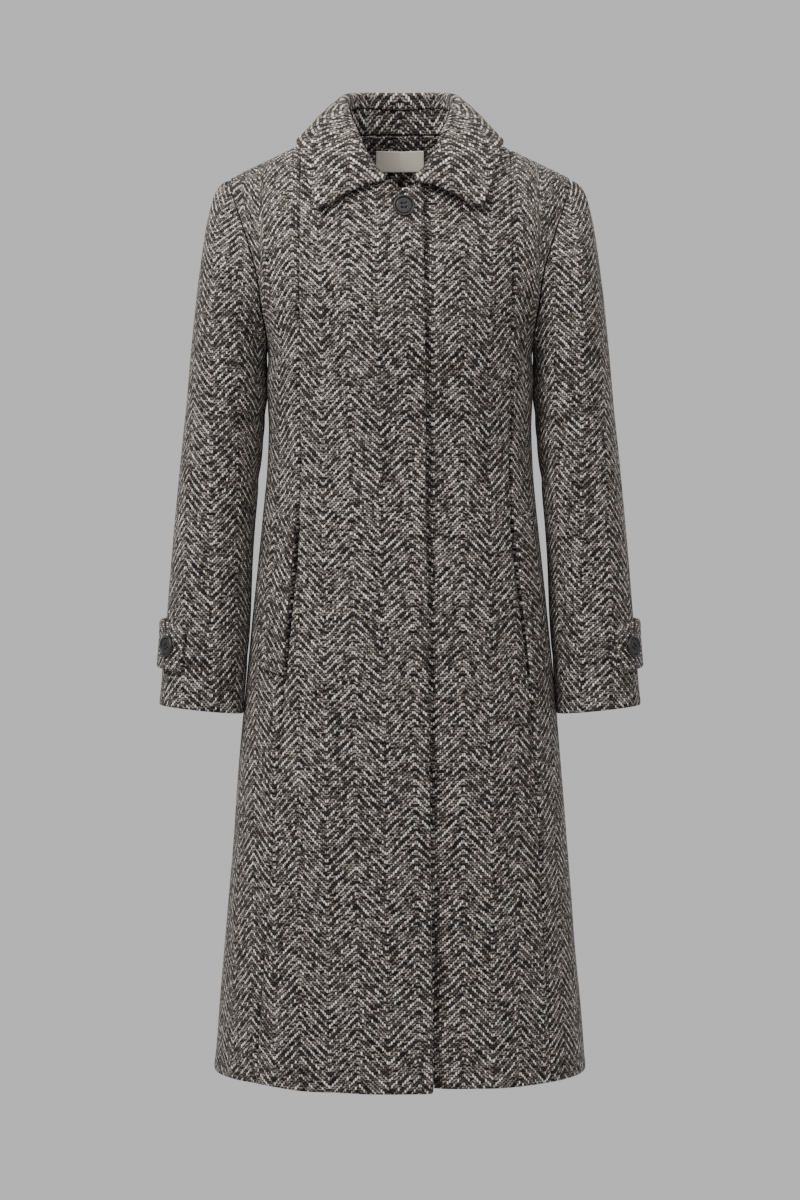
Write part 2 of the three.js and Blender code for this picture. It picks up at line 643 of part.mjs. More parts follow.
const COLLAR_STEPS = 10; // along each half
function bothHalves(section, last) {
  const half = [];
  for (let k = 0; k <= last; k++) half.push(section(k / COLLAR_STEPS));
  return [...half.slice(1).reverse().map(flipped), ...half];
}
const collarFall = () => thicken(bothHalves(fallSection, COLLAR_STEPS), DOUBLE_CLOTH);

// The stand runs from the neck seam up to the end of the fall's leg
const STAND_STEPS = 3;
const STAND_CLEAR = 1.5; // from the fall
const STAND_FOOT = 2.1; // from the neckline
function standSection(q) {
  const seam = neckSeam(q);
  const top = fallSection(q)[0];
  const direction = top.clone().sub(seam.p).normalize();
  const inward = vec(-seam.n.x, -seam.n.y, 0).normalize();
  const foot = seam.p.clone().addScaledVector(inward, CLOTH / 2).addScaledVector(direction, STAND_FOOT);
  const head = top.addScaledVector(direction, -STAND_CLEAR);
  return evenly(STAND_STEPS).map((s) => foot.clone().lerp(head, s));
}
const collarStand = () => thicken(bothHalves(standSection, STAND_END * COLLAR_STEPS), CLOTH);

// Back neck facing: the back panels' own points near the neck, moved in
const FACING_CLOTH = 2;
const FACING_FIRST_ROW = LOWER_ROWS + 6;
const FACING_COLS = BACK_NECK_COLS + 2;
const FACING_TOP_DROP = 4; // its top edge lies this far below the neckline
const FACING_CLEAR = 1.4;
function backFacing() {
  const [outer, inner] = back(LEFT);
  const layer = (depth) => {
    const half = inner.slice(FACING_FIRST_ROW).map((row, i) =>
      row.slice(0, FACING_COLS + 1).map((p, j) => {
        const inward = p.clone().sub(outer[FACING_FIRST_ROW + i][j]).normalize();
        const moved = p.clone().addScaledVector(inward, depth);
        return j === 0 ? moved.setX(0) : moved;
      }),
    );
    const [below, top] = half.slice(-2);
    top.forEach((p, j) => p.lerp(below[j], FACING_TOP_DROP / p.distanceTo(below[j])));
    return half.map((row) => [...flipped(row.slice(1).reverse()), ...row]);
  };
  return [layer(FACING_CLEAR), layer(FACING_CLEAR + FACING_CLOTH)];
}

// The blank label lies on the facing
const LABEL_WIDTH = 59;
const LABEL_HEIGHT = 23.5;
const LABEL_TOP_Z = -3;
const LABEL_CLOTH = 0.8;
const LABEL_CLEAR = 0.9;
const LABEL_ROWS = 2;
const LABEL_COLS = 8;
const insideBack = (x, z, depth) => {
  const angle = angleAt(BACK, x, z);
  return bodyPoint(BACK, angle, z).addScaledVector(bodyNormal(BACK, angle, z), -depth);
};
function neckLabel() {
  const start = CLOTH + FACING_CLEAR + FACING_CLOTH + LABEL_CLEAR;
  const rows = evenly(LABEL_ROWS).map((s) => LABEL_TOP_Z - LABEL_HEIGHT * s);
  const cols = evenly(LABEL_COLS).map((s) => (s - 0.5) * LABEL_WIDTH);
  const layer = (depth) => rows.map((z) => cols.map((x) => insideBack(x, z, depth)));
  return [layer(start), layer(start + LABEL_CLOTH)];
}

// Pocket welt: a slanted strip on the side front, with its opening edge on the princess seam.
// x and z of its two ends, at the opening edge (in) and at the sewn edge (out).
const WELT = {
  [RIGHT]: { top: { in: 115, out: 138 }, bottom: { in: 129.5, out: 157.5 } },
  [LEFT]: { top: { in: 126.5, out: 143.5 }, bottom: { in: 145, out: 166 } },
};
const WELT_Z = { top: { in: -441, out: -431 }, bottom: { in: -614, out: -603 } };
const WELT_ROWS = 8;
const WELT_COLS = 4;
function pocketWelt(side) {
  const { top, bottom } = WELT[side];
  const layer = (height) =>
    evenly(WELT_ROWS).map((r) =>
      evenly(WELT_COLS).map((c) => {
        const z = mix(mix(WELT_Z.top.in, WELT_Z.bottom.in, r), mix(WELT_Z.top.out, WELT_Z.bottom.out, r), c);
        const from = angleAt(FRONT, mix(top.in, bottom.in, r), z);
        const to = angleAt(FRONT, mix(top.out, bottom.out, r), z);
        const angle = side * mix(from, to, c);
        return bodyPoint(FRONT, angle, z).addScaledVector(bodyNormal(FRONT, angle, z), height);
      }),
    );
  return [layer(LAY_GAP + DOUBLE_CLOTH), layer(LAY_GAP)];
}

// Cuff tab: a strap round the outside of the cuff from the back seam to a rounded end in front
const TAB = { fromTurn: -112, toTurn: 57, middleZ: -582, half: 26.5, frontDrop: 6 };
const TAB_GAP = 0.8;
const TAB_COLS = 12;
const TAB_ROWS = 4;
const TAB_CROWD = 1.25; // power that brings the columns closer towards the rounded end
const TAB_ROUND_TURN = 12; // degrees that the rounded end takes up
const TAB_END = 0.55; // its height at the tip, as a share of the whole
const RING_STEP = 0.01;
function outOfSleeve(z, turn, height) {
  const p = sleeveRing(z, turn);
  const round = sleeveRing(z, turn + RING_STEP).sub(sleeveRing(z, turn - RING_STEP));
  const down = sleeveRing(z - 1, turn).sub(sleeveRing(z + 1, turn));
  const n = round.cross(down).normalize();
  const centre = (sleeveAt.outer(z) + sleeveAt.inner(z)) / 2;
  if (n.x * (p.x - centre) + n.y * (p.y - sleeveAt.middle(z)) < 0) n.negate();
  return { p: p.addScaledVector(n, height), n };
}
const tabMiddle = (turn) =>
  TAB.middleZ + CUFF_TILT * Math.cos(turn) - TAB.frontDrop * Math.sin(turn);
function cuffTab() {
  const turns = evenly(TAB_COLS).map((s) => mix(TAB.fromTurn, TAB.toTurn, 1 - (1 - s) ** TAB_CROWD));
  const layer = (height) =>
    evenly(TAB_ROWS).map((r) =>
      turns.map((degrees) => {
        const turn = rad(degrees);
        const left = clamp((TAB.toTurn - degrees) / TAB_ROUND_TURN, 0, 1);
        const half = TAB.half * mix(TAB_END, 1, Math.sqrt(1 - (1 - left) ** 2));
        return outOfSleeve(tabMiddle(turn) + half * (2 * r - 1), turn, height).p;
      }),
    );
  return [layer(TAB_GAP + DOUBLE_CLOTH), layer(TAB_GAP)];
}

// A sewn-through button with a rim and four holes, its back at z 0 and its face towards +z. The
// profile runs from the middle of the back to the middle of the face, r as a share of its radius.
const BUTTON_PROFILE = [
  { r: 0, z: 0 },
  { r: 0.86, z: 0 },
  { r: 1, z: 1.1 },
  { r: 1, z: 2.6 },
  { r: 0.9, z: 3.6 },
  { r: 0.78, z: 3.5 },
  { r: 0.7, z: 2.5 },
  { r: 0, z: 2.3 },
];
const HOLE_D = 2;
const HOLE_SPREAD = 2.1; // of each hole from the middle, both ways
const HOLE_DEPTH = 8;
const HOLE_SIDES = 8;
const WELD = 1e-4;
function toSolid(geometry) {
  const bare = new THREE.BufferGeometry().setAttribute("position", geometry.getAttribute("position"));
  if (geometry.index) bare.setIndex(geometry.index);
  const merged = mergeVertices(bare, WELD);
  return new wasm.Manifold(
    new wasm.Mesh({
      numProp: 3,
      vertProperties: merged.attributes.position.array,
      triVerts: new Uint32Array(merged.index.array),
    }),
  );
}
function buttonGeometry() {
  const profile = BUTTON_PROFILE.map(({ r, z }) => new THREE.Vector2((r * BUTTON_D) / 2, z));
  let solid = toSolid(new THREE.LatheGeometry(profile, BUTTON_SIDES).rotateX(Math.PI / 2));
  for (const x of [-HOLE_SPREAD, HOLE_SPREAD]) {
    for (const y of [-HOLE_SPREAD, HOLE_SPREAD]) {
      const hole = new THREE.CylinderGeometry(HOLE_D / 2, HOLE_D / 2, HOLE_DEPTH, HOLE_SIDES);
      solid = solid.subtract(toSolid(hole.rotateX(Math.PI / 2).translate(x, y, 0)));
    }
  }
  const mesh = solid.getMesh();
  const geometry = new THREE.BufferGeometry();
  geometry.setAttribute("position", new THREE.Float32BufferAttribute(mesh.vertProperties, 3));
  geometry.setIndex([...mesh.triVerts]);
  return geometry;
}

const finish = (color, roughness) => () =>
  new THREE.MeshStandardMaterial({ color, roughness, metalness: 0 });
const tweed = finish(0x5f5956, 0.95);
const tweedDark = finish(0x4a4644, 0.95);
const labelSatin = finish(0x98907f, 0.6);
const resin = finish(0x4a4543, 0.4);

const coat = new THREE.Group();
function add(name, geometry, material) {
  const mesh = new THREE.Mesh(geometry, material());
  mesh.name = name;
  coat.add(mesh);
  return mesh;
}
const sideName = { [LEFT]: "left", [RIGHT]: "right" };

// A piece and its twin: either made for its own side, or the left one mirrored
function addPair(name, make, material) {
  for (const side of [RIGHT, LEFT]) {
    add(`${name}_${sideName[side]}`, wall(...make(side)), material);
  }
}
const symmetric = (make) => (side) => (side === LEFT ? make() : make().map((grid) => grid.map(flipped)));

const overExtension = extensionAt(FRONT_EXTENSION_TOP, FRONT_EXTENSION_HEM);
const underExtension = extensionAt(UNDER_EXTENSION, UNDER_EXTENSION);
const liftTo = (height) => (x) => height * (1 - smoothstep(LIFT_FULL_X, LIFT_NONE_X, x));
add("front_right", wall(...front(RIGHT, overExtension, liftTo(OVER_LIFT), FRONT_DROP)), tweed);
add("front_left", wall(...front(LEFT, underExtension, liftTo(UNDER_LIFT), 0)), tweed);
addPair("side_front", sideFront, tweed);
addPair("back", back, tweed);
addPair("upper_sleeve", symmetric(upperSleeve), tweed);
addPair("under_sleeve", symmetric(underSleeve), tweed);
add("collar_fall", wall(...collarFall()), tweed);
add("collar_stand", wall(...collarStand()), tweedDark);
add("back_facing", wall(...backFacing()), tweedDark);
add("neck_label", wall(...neckLabel()), labelSatin);
addPair("pocket_welt", pocketWelt, tweed);
addPair("cuff_tab", symmetric(cuffTab), tweed);

// Buttons, each turned so that its face looks out of the cloth that carries it
function placeButton(name, point, normal) {
  const button = add(name, buttonGeometry(), resin);
  button.quaternion.setFromUnitVectors(vec(0, 0, 1), normal);
  button.position.copy(point).addScaledVector(normal, LAY_GAP);
}
const NECK_BUTTON = { x: 4, z: -99 };
const CUFF_BUTTON_TURN = 31;
const neckAngle = angleAt(FRONT, NECK_BUTTON.x, NECK_BUTTON.z);
const neckNormal = bodyNormal(FRONT, neckAngle, NECK_BUTTON.z);
placeButton(
  "neck_button",
  bodyPoint(FRONT, neckAngle, NECK_BUTTON.z).addScaledVector(neckNormal, OVER_LIFT),
  neckNormal,
);
for (const side of [RIGHT, LEFT]) {
  const turn = rad(CUFF_BUTTON_TURN);
  const { p, n } = outOfSleeve(tabMiddle(turn), turn, TAB_GAP + DOUBLE_CLOTH);
  placeButton(`cuff_button_${sideName[side]}`, vec(side * p.x, p.y, p.z), vec(side * n.x, n.y, n.z));
}

export default coat;
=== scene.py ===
import math

import bpy
import numpy as np
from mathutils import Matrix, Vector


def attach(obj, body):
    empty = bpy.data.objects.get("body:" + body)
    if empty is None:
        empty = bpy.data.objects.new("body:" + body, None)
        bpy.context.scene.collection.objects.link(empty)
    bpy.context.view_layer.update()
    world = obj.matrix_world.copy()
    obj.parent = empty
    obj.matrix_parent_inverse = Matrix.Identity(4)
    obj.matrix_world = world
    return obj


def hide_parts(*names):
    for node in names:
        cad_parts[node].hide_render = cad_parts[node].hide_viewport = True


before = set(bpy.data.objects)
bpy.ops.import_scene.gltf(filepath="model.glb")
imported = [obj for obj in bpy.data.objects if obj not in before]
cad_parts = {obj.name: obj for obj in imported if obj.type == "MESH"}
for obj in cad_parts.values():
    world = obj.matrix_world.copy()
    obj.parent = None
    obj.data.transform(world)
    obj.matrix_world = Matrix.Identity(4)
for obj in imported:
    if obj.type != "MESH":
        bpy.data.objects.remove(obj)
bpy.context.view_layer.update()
MM = 0.001

# A long lens straight in front, level with the middle of the coat
camera = bpy.data.objects.new("camera", bpy.data.cameras.new("camera"))
camera.data.sensor_width = 36
camera.data.lens = 76.32
camera.location = (0, -2.9, -0.53)
camera.rotation_euler = (math.radians(90), 0, 0)
camera.data.clip_end = 60
bpy.context.collection.objects.link(camera)
bpy.context.scene.camera = camera


def linear(hex_colour):
    """An sRGB hex colour as linear red, green, blue and alpha"""
    parts = [int(hex_colour[i : i + 2], 16) / 255 for i in (0, 2, 4)]
    return (*[p / 12.92 if p <= 0.04045 else ((p + 0.055) / 1.055) ** 2.4 for p in parts], 1.0)


def area_light(name, place, aim, size, power):
    data = bpy.data.lights.new(name, "AREA")
    data.shape = "RECTANGLE"
    data.size, data.size_y = size
    data.energy = power
    light = bpy.data.objects.new(name, data)
    light.location = place
    direction = Vector(aim) - Vector(place)
    light.rotation_euler = direction.to_track_quat("-Z", "Y").to_euler()
    bpy.context.collection.objects.link(light)


# Big soft lights: the key from the upper left, a fill from the right, and less from above and behind
area_light("key_softbox", (-1.15, -1.4, 0.95), (0, 0, -0.25), (0.8, 0.8), 44)
area_light("fill_softbox", (1.15, -2.9, 0.9), (0, 0, -0.3), (1.6, 1.8), 27)
area_light("top_softbox", (0, -0.3, 1.3), (0, 0, -0.3), (1.2, 0.9), 16)
area_light("back_softbox", (1.2, 2.6, 0.8), (0, 0, -0.4), (2.0, 2.0), 14)

world = bpy.data.worlds.new("studio")
world.use_nodes = True
world.node_tree.nodes["Background"].inputs["Color"].default_value = linear("ffffff")
world.node_tree.nodes["Background"].inputs["Strength"].default_value = 0.62
bpy.context.scene.world = world


# Small node helpers
def add_node(tree, kind, links=None, **settings):
    """Adds a node. links gives its inputs, by name or number, as values or as sockets to join."""
    node = tree.nodes.new(kind)
    for name, value in settings.items():
        setattr(node, name, value)
    for key, value in (links or {}).items():
        socket = node.inputs[key]
        if isinstance(value, bpy.types.NodeSocket):
            tree.links.new(value, socket)
        else:
            socket.default_value = value
    return node


def math_of(tree):
    """A function that adds a Math node to the tree and gives its result"""

    def add(operation, *values):
        node = add_node(tree, "ShaderNodeMath", dict(enumerate(values)), operation=operation)
        return node.outputs[0]

    return add


def new_material(name):
    material = bpy.data.materials.new(name)
    material.use_nodes = True
    tree = material.node_tree
    tree.nodes.clear()
    shader = tree.nodes.new("ShaderNodeBsdfPrincipled")
    out = tree.nodes.new("ShaderNodeOutputMaterial")
    tree.links.new(shader.outputs[0], out.inputs["Surface"])
    return material, tree, shader


# Materials
END = 2.32 * MM  # one warp yarn
PICK = 2.34 * MM  # one weft yarn
ARM_ENDS = 14  # warp yarns in one arm of the herringbone
FLOAT_LEAN = 0.4  # how far a float leans along the twill line
LIGHT_HALF = 0.92  # half the length of a light float, in picks
DARK_HALF = 0.85
WAVERS = ((45.0, 2.6 * MM), (310.0, 1.3 * MM))  # how the yarns waver: waves in a metre, and how far
NAP_SCALE = 640.0  # tufts of the nap in a metre
PATCH_SCALE = 60.0  # lighter and darker patches in a metre
PATCH_DEPTH = 0.4
LOWEST_BEAD, BEAD_RANGE = 0.6, 0.55  # how high the light floats lie; the lower ones also get darker painted shade
DARK_LOW = 0.8  # how high a dark float lies beside a light one
RIB_SCALE = 620.0  # scale of the wave that makes the satin's ribs, about two in a millimetre
LIGHT_YARN = ((0.0, "5c544f"), (0.35, "a99e93"), (0.9, "fff6ec"))
DARK_YARN = ((0.0, "1b191a"), (0.5, "544e4b"), (1.0, "a39a92"))
# Painted shade, nearly black, in the valleys between the yarns and at the rounded sides and ends of each
# float
GAP_SHADE = "060506"


def herringbone_tweed():
    # Thick woollen yarns in a 2/2 herringbone: matt, with light plump floats over nearly black ones that
    # catch the light one by one, uneven in shade, and a soft halo of fibres at glancing angles.
    material, tree, shader = new_material("herringbone_tweed")
    m = math_of(tree)
    uv = add_node(tree, "ShaderNodeUVMap", uv_map="cloth").outputs[0]

    def noise(scale, detail, output):
        links = {"Vector": uv, "Scale": scale, "Detail": detail}
        return add_node(tree, "ShaderNodeTexNoise", links, noise_dimensions="2D").outputs[output]

    def vector(operation, *values):
        links = dict(enumerate(values))
        return add_node(tree, "ShaderNodeVectorMath", links, operation=operation).outputs[0]

    moved = uv
    for scale, amount in WAVERS:
        shift = vector("SUBTRACT", noise(scale, 0.0, "Color"), (0.5, 0.5, 0.5))
        moved = vector("MULTIPLY_ADD", shift, (amount * 0.6, amount, 0), moved)
    parts = add_node(tree, "ShaderNodeSeparateXYZ", {0: moved})
    ends = m("DIVIDE", parts.outputs[0], END)
    picks = m("DIVIDE", parts.outputs[1], PICK)
    folded = m("PINGPONG", ends, float(ARM_ENDS))
    end, end_share = m("FLOOR", folded), m("FRACT", folded)
    pick, pick_share = m("FLOOR", picks), m("FRACT", picks)
    # The place in the weave's repeat of four. Light floats have their middle at 1 and dark ones at 3.
    lean = m("MULTIPLY", m("SUBTRACT", end_share, 0.5), FLOAT_LEAN)
    place = m("ADD", m("ADD", end, lean), picks)
    from_light = m("ABSOLUTE", m("SUBTRACT", m("FLOORED_MODULO", m("ADD", place, 1.0), 4.0), 2.0))
    from_dark = m("SUBTRACT", 2.0, from_light)

    # A float's profile is its height for the bump and also painted shade in its colour, darker towards the
    # float's ends and rounded sides
    def float_height_and_shade(distance, half, across, gap):
        along = m("MAXIMUM", m("SUBTRACT", 1.0, m("POWER", m("DIVIDE", distance, half), 2.0)), 0.0)
        round_yarn = m("ABSOLUTE", m("SINE", m("MULTIPLY", across, math.pi)))
        return m("MULTIPLY", along, m("MULTIPLY_ADD", round_yarn, 1.0 - gap, gap))

    light = float_height_and_shade(from_light, LIGHT_HALF, end_share, 0.0)
    dark = float_height_and_shade(from_dark, DARK_HALF, pick_share, 0.25)

    def shade(*values):
        cell = add_node(tree, "ShaderNodeCombineXYZ", dict(enumerate(values))).outputs[0]
        return add_node(tree, "ShaderNodeTexWhiteNoise", {"Vector": cell}).outputs["Value"]

    this_end, this_float = m("FLOOR", ends), m("FLOOR", m("DIVIDE", m("ADD", place, 1.0), 4.0))
    light_shade = shade(this_end, this_float, 1.0)
    dark_shade = shade(m("FLOOR", m("DIVIDE", m("ADD", ends, pick), 2.0)), pick, 7.0)
    # Some light floats lie deeper than others and get darker painted shade, so that a twill line breaks up
    # into beads
    bead = m("MULTIPLY_ADD", shade(this_end, this_float, 4.0), BEAD_RANGE, LOWEST_BEAD)
    light = m("MINIMUM", m("MULTIPLY", light, bead), 1.0)
    fibres = m("SUBTRACT", noise(NAP_SCALE, 2.0, "Fac"), 0.5)
    patches = m("MULTIPLY", m("SUBTRACT", noise(PATCH_SCALE, 2.0, "Fac"), 0.5), PATCH_DEPTH)
    light_level = m("ADD", m("MULTIPLY_ADD", light_shade, 1.1, -0.02), m("ADD", fibres, patches))
    dark_level = m("ADD", m("MULTIPLY_ADD", dark_shade, 1.1, -0.08), m("ADD", fibres, patches))

    def ramp(factor, *stops):
        node = add_node(tree, "ShaderNodeValToRGB", {"Fac": factor})
        elements = node.color_ramp.elements
        while len(elements) < len(stops):
            elements.new(0.5)
        for element, (at, colour) in zip(elements, stops):
            element.position, element.color = at, linear(colour)
        return node.outputs[0]

    def mixed(factor, a, b):
        node = add_node(tree, "ShaderNodeMix", {0: factor}, data_type="RGBA")
        for socket, value in zip([i for i in node.inputs if i.type == "RGBA"], (a, b)):
            if isinstance(value, bpy.types.NodeSocket):
                tree.links.new(value, socket)
            else:
                socket.default_value = value
        return [o for o in node.outputs if o.type == "RGBA"][0]

    light_yarn = ramp(light_level, *LIGHT_YARN)
    dark_yarn = ramp(dark_level, *DARK_YARN)
    # Painted shade: where no float rises, the colour goes to the nearly black gap shade, so the valleys
    # between the yarns are painted dark
    colour = mixed(dark, linear(GAP_SHADE), dark_yarn)
    colour = mixed(light, colour, light_yarn)
    tree.links.new(colour, shader.inputs["Base Color"])
    height = m("MAXIMUM", light, m("MULTIPLY", dark, DARK_LOW))
    bump = add_node(tree, "ShaderNodeBump", {"Strength": 0.8, "Distance": 1.0 * MM, "Height": height})
    tree.links.new(bump.outputs[0], shader.inputs["Normal"])
    shader.inputs["Roughness"].default_value = 0.95
    shader.inputs["Specular IOR Level"].default_value = 0.12
    shader.inputs["Sheen Weight"].default_value = 0.12
    shader.inputs["Sheen Roughness"].default_value = 0.5
    shader.inputs["Sheen Tint"].default_value = linear("cfc6bc")
    return material


def label_satin():
    # Woven satin ribbon: smooth, with fine ribs across it that give a soft streak of light
    material, tree, shader = new_material("label_satin")
    uv = add_node(tree, "ShaderNodeUVMap", uv_map="cloth").outputs[0]
    links = {"Vector": uv, "Scale": RIB_SCALE, "Distortion": 0.4}
    ribs = add_node(tree, "ShaderNodeTexWave", links, bands_direction="Y").outputs["Fac"]
    bump = add_node(tree, "ShaderNodeBump", {"Strength": 0.35, "Distance": 0.1 * MM, "Height": ribs})
    tree.links.new(bump.outputs[0], shader.inputs["Normal"])
    shader.inputs["Base Color"].default_value = linear("e2dacd")
    shader.inputs["Roughness"].default_value = 0.42
    return material


def plain(name, colour, roughness):
    """A material of one colour"""
    material, _, shader = new_material(name)
    shader.inputs["Base Color"].default_value = linear(colour)
    shader.inputs["Roughness"].default_value = roughness
    return material


TWEED = herringbone_tweed()
SATIN = label_satin()
# Cast polyester resin: dark and smooth, with a clear soft gleam round the rim
RESIN = plain("button_resin", "1d1a19", 0.42)
THREAD = plain("button_thread", "141212", 0.8)  # twisted polyester: matt with a slight shine
LABEL_THREAD = plain("label_thread", "a39c91", 0.7)  # fine sewing thread, a little duller than the satin
# Matt studio paper of about the background's grey
PAPER = plain("studio_floor", "e4e4e4", 0.9)

# The forms of the coat in millimetres, as in the solids
CLOTH = 3.0
DOUBLE_CLOTH = 4.0  # two layers pressed together
LAY_GAP = 0.4  # between a piece and what it lies on
HEM_Z = -1060.0
FRONT_DROP = 4.0  # how much lower the top front's hem hangs at its edge
UNDERARM_Z = -248.0
NECK_HALF = 75.0
NECK_SIDE_Z = 7.0
FRONT_NECK_DROP = 78.0
BACK_NECK_RISE = 5.0
NECK_ROUND = 1.05  # power of the neckline's curve
SHOULDER_FALL = 0.478  # how far the shoulder falls for each step outwards
TIP_X = 193.0  # tip of the shoulder
CHEST_TOP_Z = -230.0  # from here the front bends back to the shoulder
BLADE_Z = -200.0  # and from here the back bends forward
FRONT_EXTENSION_TOP = 20.5  # how far the top front runs past the middle, at the neck
FRONT_EXTENSION_HEM = 35.0
UNDER_EXTENSION = 22.0
OVER_LIFT = 3.2  # how far the top front stands off, and the other one sinks in, where they overlap
UNDER_LIFT = -3.7
LIFT_FULL_X = 38.0  # from where to where across the front that fades out
LIFT_NONE_X = 70.0
FRONT, BACK = -1, 1
RIGHT, LEFT = -1, 1
SIDES = {"right": RIGHT, "left": LEFT}


def table(columns, *rows):
    names = columns.split()
    return [dict(zip(names, row)) for row in rows]


BODY = table(
    "z half front back",
    (60, 220, 122, 110),
    (-49, 212, 124, 110),
    (-93, 203, 125, 112),
    (-142, 188, 127, 113),
    (-185, 173, 130, 112),
    (-223, 157.5, 131, 108),
    (-248, 151, 130, 105),
    (-275, 151.3, 126.5, 101),
    (-300, 151.0, 122.3, 97.2),
    (-336, 149.8, 116, 92),
    (-400, 152.8, 113, 97),
    (-480, 161, 117, 111),
    (-580, 171, 123, 123),
    (-700, 182, 131, 133),
    (-850, 193.4, 141, 143),
    (-1060, 211, 153, 155),
)
PRINCESS = table(
    "z right left",
    (0, 113, 126),
    (-248, 113, 125.5),
    (-440, 113.5, 125),
    (-613, 128, 143.5),
    (-1060, 160, 168),
)
FOLDS_FROM_Z = -520.0
FOLD_GROWTH = 1.3  # power by which the skirt's folds grow down to the hem
FOLDS = table(
    "face x half height",
    (FRONT, -112, 30, 3.5),
    (FRONT, -68, 28, -3.5),
    (FRONT, 62, 30, -3.5),
    (FRONT, 118, 32, 3.5),
    (BACK, -128, 34, 4.5),
    (BACK, -74, 32, -4),
    (BACK, 60, 34, -4.5),
    (BACK, 116, 34, 4.5),
)
SLEEVE = table(
    "z outer inner middle depth",
    (-49, 203.5, 128, 0, 50),
    (-60, 207.5, 131, 0, 53),
    (-74, 213, 134, 0, 57),
    (-108, 221, 140, 0, 66),
    (-177, 230.5, 148, 0, 76),
    (-248, 238, 151.6, 0, 77),
    (-275, 240.3, 151.1, -0.4, 75.4),
    (-300, 242.4, 151.4, -0.8, 73.7),
    (-313, 243.5, 152.5, -1, 73),
    (-336, 245.9, 154.4, -2, 71.4),
    (-382, 250.5, 159.3, -4, 68),
    (-473, 258.5, 166.5, -10, 62),
    (-560, 265, 169.8, -17, 56),
    (-665, 273, 177.8, -24, 52),
)
CUFF_Z = -653.0
CUFF_TILT = 5.0  # the cuff is this much higher outside
CAP_BLEND = 22.0  # length over which the sleeve turns from the armhole into its own form
UNDERARM_BLEND = 60.0  # and how much longer that is at the underarm
COLLAR = table(
    "along foldX foldY foldZ edgeX edgeY",
    (0, 0, 62, 53, 0, 86),
    (0.2, 43, 54, 51.5, 46, 78),
    (0.3, 59, 38, 47.5, 71, 64),
    (0.4, 66, 16, 38.5, 98, 36),
    (0.5, 63.5, -9, 21.5, 113, 1),
    (0.6, 54, -40, -5, 114.5, -25),
    (0.7, 45.8, -59.5, -25.5, 110, -46),
    (0.8, 38, -75, -41.5, 103.5, -64),
    (0.9, 28.5, -88, -56.5, 96, -81),
    (1, 16.5, -99.5, -68.5, 87, -93.4),
)
FOLD_RADIUS_BACK = 5.0  # radius of the collar's roll
FOLD_RADIUS_FRONT = 3.0
FOLD_INSIDE_BACK = 12.0  # how far the fall reaches down inside the neck
FOLD_INSIDE_FRONT = 3.5
COLLAR_ANGLE = 76.4  # where the collar ends on the front neckline
STAND_END = 0.9  # and where the stand ends along the collar


def mix(a, b, t):
    return a + (b - a) * t


def smoothstep(start, end, v):
    t = np.clip((v - start) / (end - start), 0, 1)
    return t * t * (3 - 2 * t)


def hump(away, half):
    """A soft round rise of height 1 and about the given half width"""
    return np.exp(-((away / half) ** 2))


def signed_power(v, p):
    return np.sign(v) * np.abs(v) ** p


def unit(v):
    return v / np.maximum(np.linalg.norm(v, axis=-1, keepdims=True), 1e-12)


def dot(a, b):
    return np.sum(a * b, axis=-1)


def stack(x, y, z):
    return np.stack(np.broadcast_arrays(x, y, z), axis=-1).astype(float)


def follow(rows, key, value):
    """A smooth curve through one column of a table, against another column"""
    rows = sorted(rows, key=lambda row: row[key])
    k = np.array([row[key] for row in rows], float)
    v = np.array([row[value] for row in rows], float)
    n = len(rows)
    before, after = np.maximum(np.arange(n) - 1, 0), np.minimum(np.arange(n) + 1, n - 1)
    slope = (v[after] - v[before]) / (k[after] - k[before])

    def at(x):
        x = np.clip(x, k[0], k[-1])
        i = np.clip(np.searchsorted(k, x) - 1, 0, n - 2)
        h = k[i + 1] - k[i]
        t = (x - k[i]) / h
        return (
            v[i] * (1 + 2 * t) * (1 - t) ** 2
            + slope[i] * h * t * (1 - t) ** 2
            + v[i + 1] * t * t * (3 - 2 * t)
            + slope[i + 1] * h * t * t * (t - 1)
        )

    return at


body_half = follow(BODY, "z", "half")
princess_x = {RIGHT: follow(PRINCESS, "z", "right"), LEFT: follow(PRINCESS, "z", "left")}
# Power and depth of a face's sections, and how it closes over the shoulder
POWER = {FRONT: 2.3, BACK: 2.2}
DEPTH = {FRONT: follow(BODY, "z", "front"), BACK: follow(BODY, "z", "back")}
CLOSE_FROM = {FRONT: CHEST_TOP_Z, BACK: BLADE_Z}
CLOSE = {FRONT: 1.8, BACK: 2.6}


def shoulder_z(x):
    return NECK_SIDE_Z - SHOULDER_FALL * (np.abs(x) - NECK_HALF)


def angle_at(face, x, z):
    return np.arcsin(signed_power(np.clip(x / body_half(z), -1, 1), POWER[face] / 2))


def fold_height(face, x, z):
    share = np.clip((FOLDS_FROM_Z - z) / (FOLDS_FROM_Z - HEM_Z), 0, 1)
    height = 0.0
    for fold in FOLDS:
        if fold["face"] == face:
            away = x * body_half(HEM_Z) / body_half(z) - fold["x"]
            height = height + fold["height"] * hump(away, fold["half"])
    return height * share**FOLD_GROWTH


def body_point(face, angle, z):
    """A point of the body's outer surface. The angle is negative on the wearer's right."""
    power, close, start = POWER[face], CLOSE[face], CLOSE_FROM[face]
    x = body_half(z) * signed_power(np.sin(angle), 2 / power)
    t = np.clip((z - start) / (shoulder_z(x) - start), 0, 1)
    ring = np.maximum(0, np.cos(angle)) ** (2 / power)
    y = DEPTH[face](z) * ring * (1 - t**close) ** (1 / close)
    return stack(x, face * (y + fold_height(face, x, z) * np.minimum(1, 2 * ring)), z)


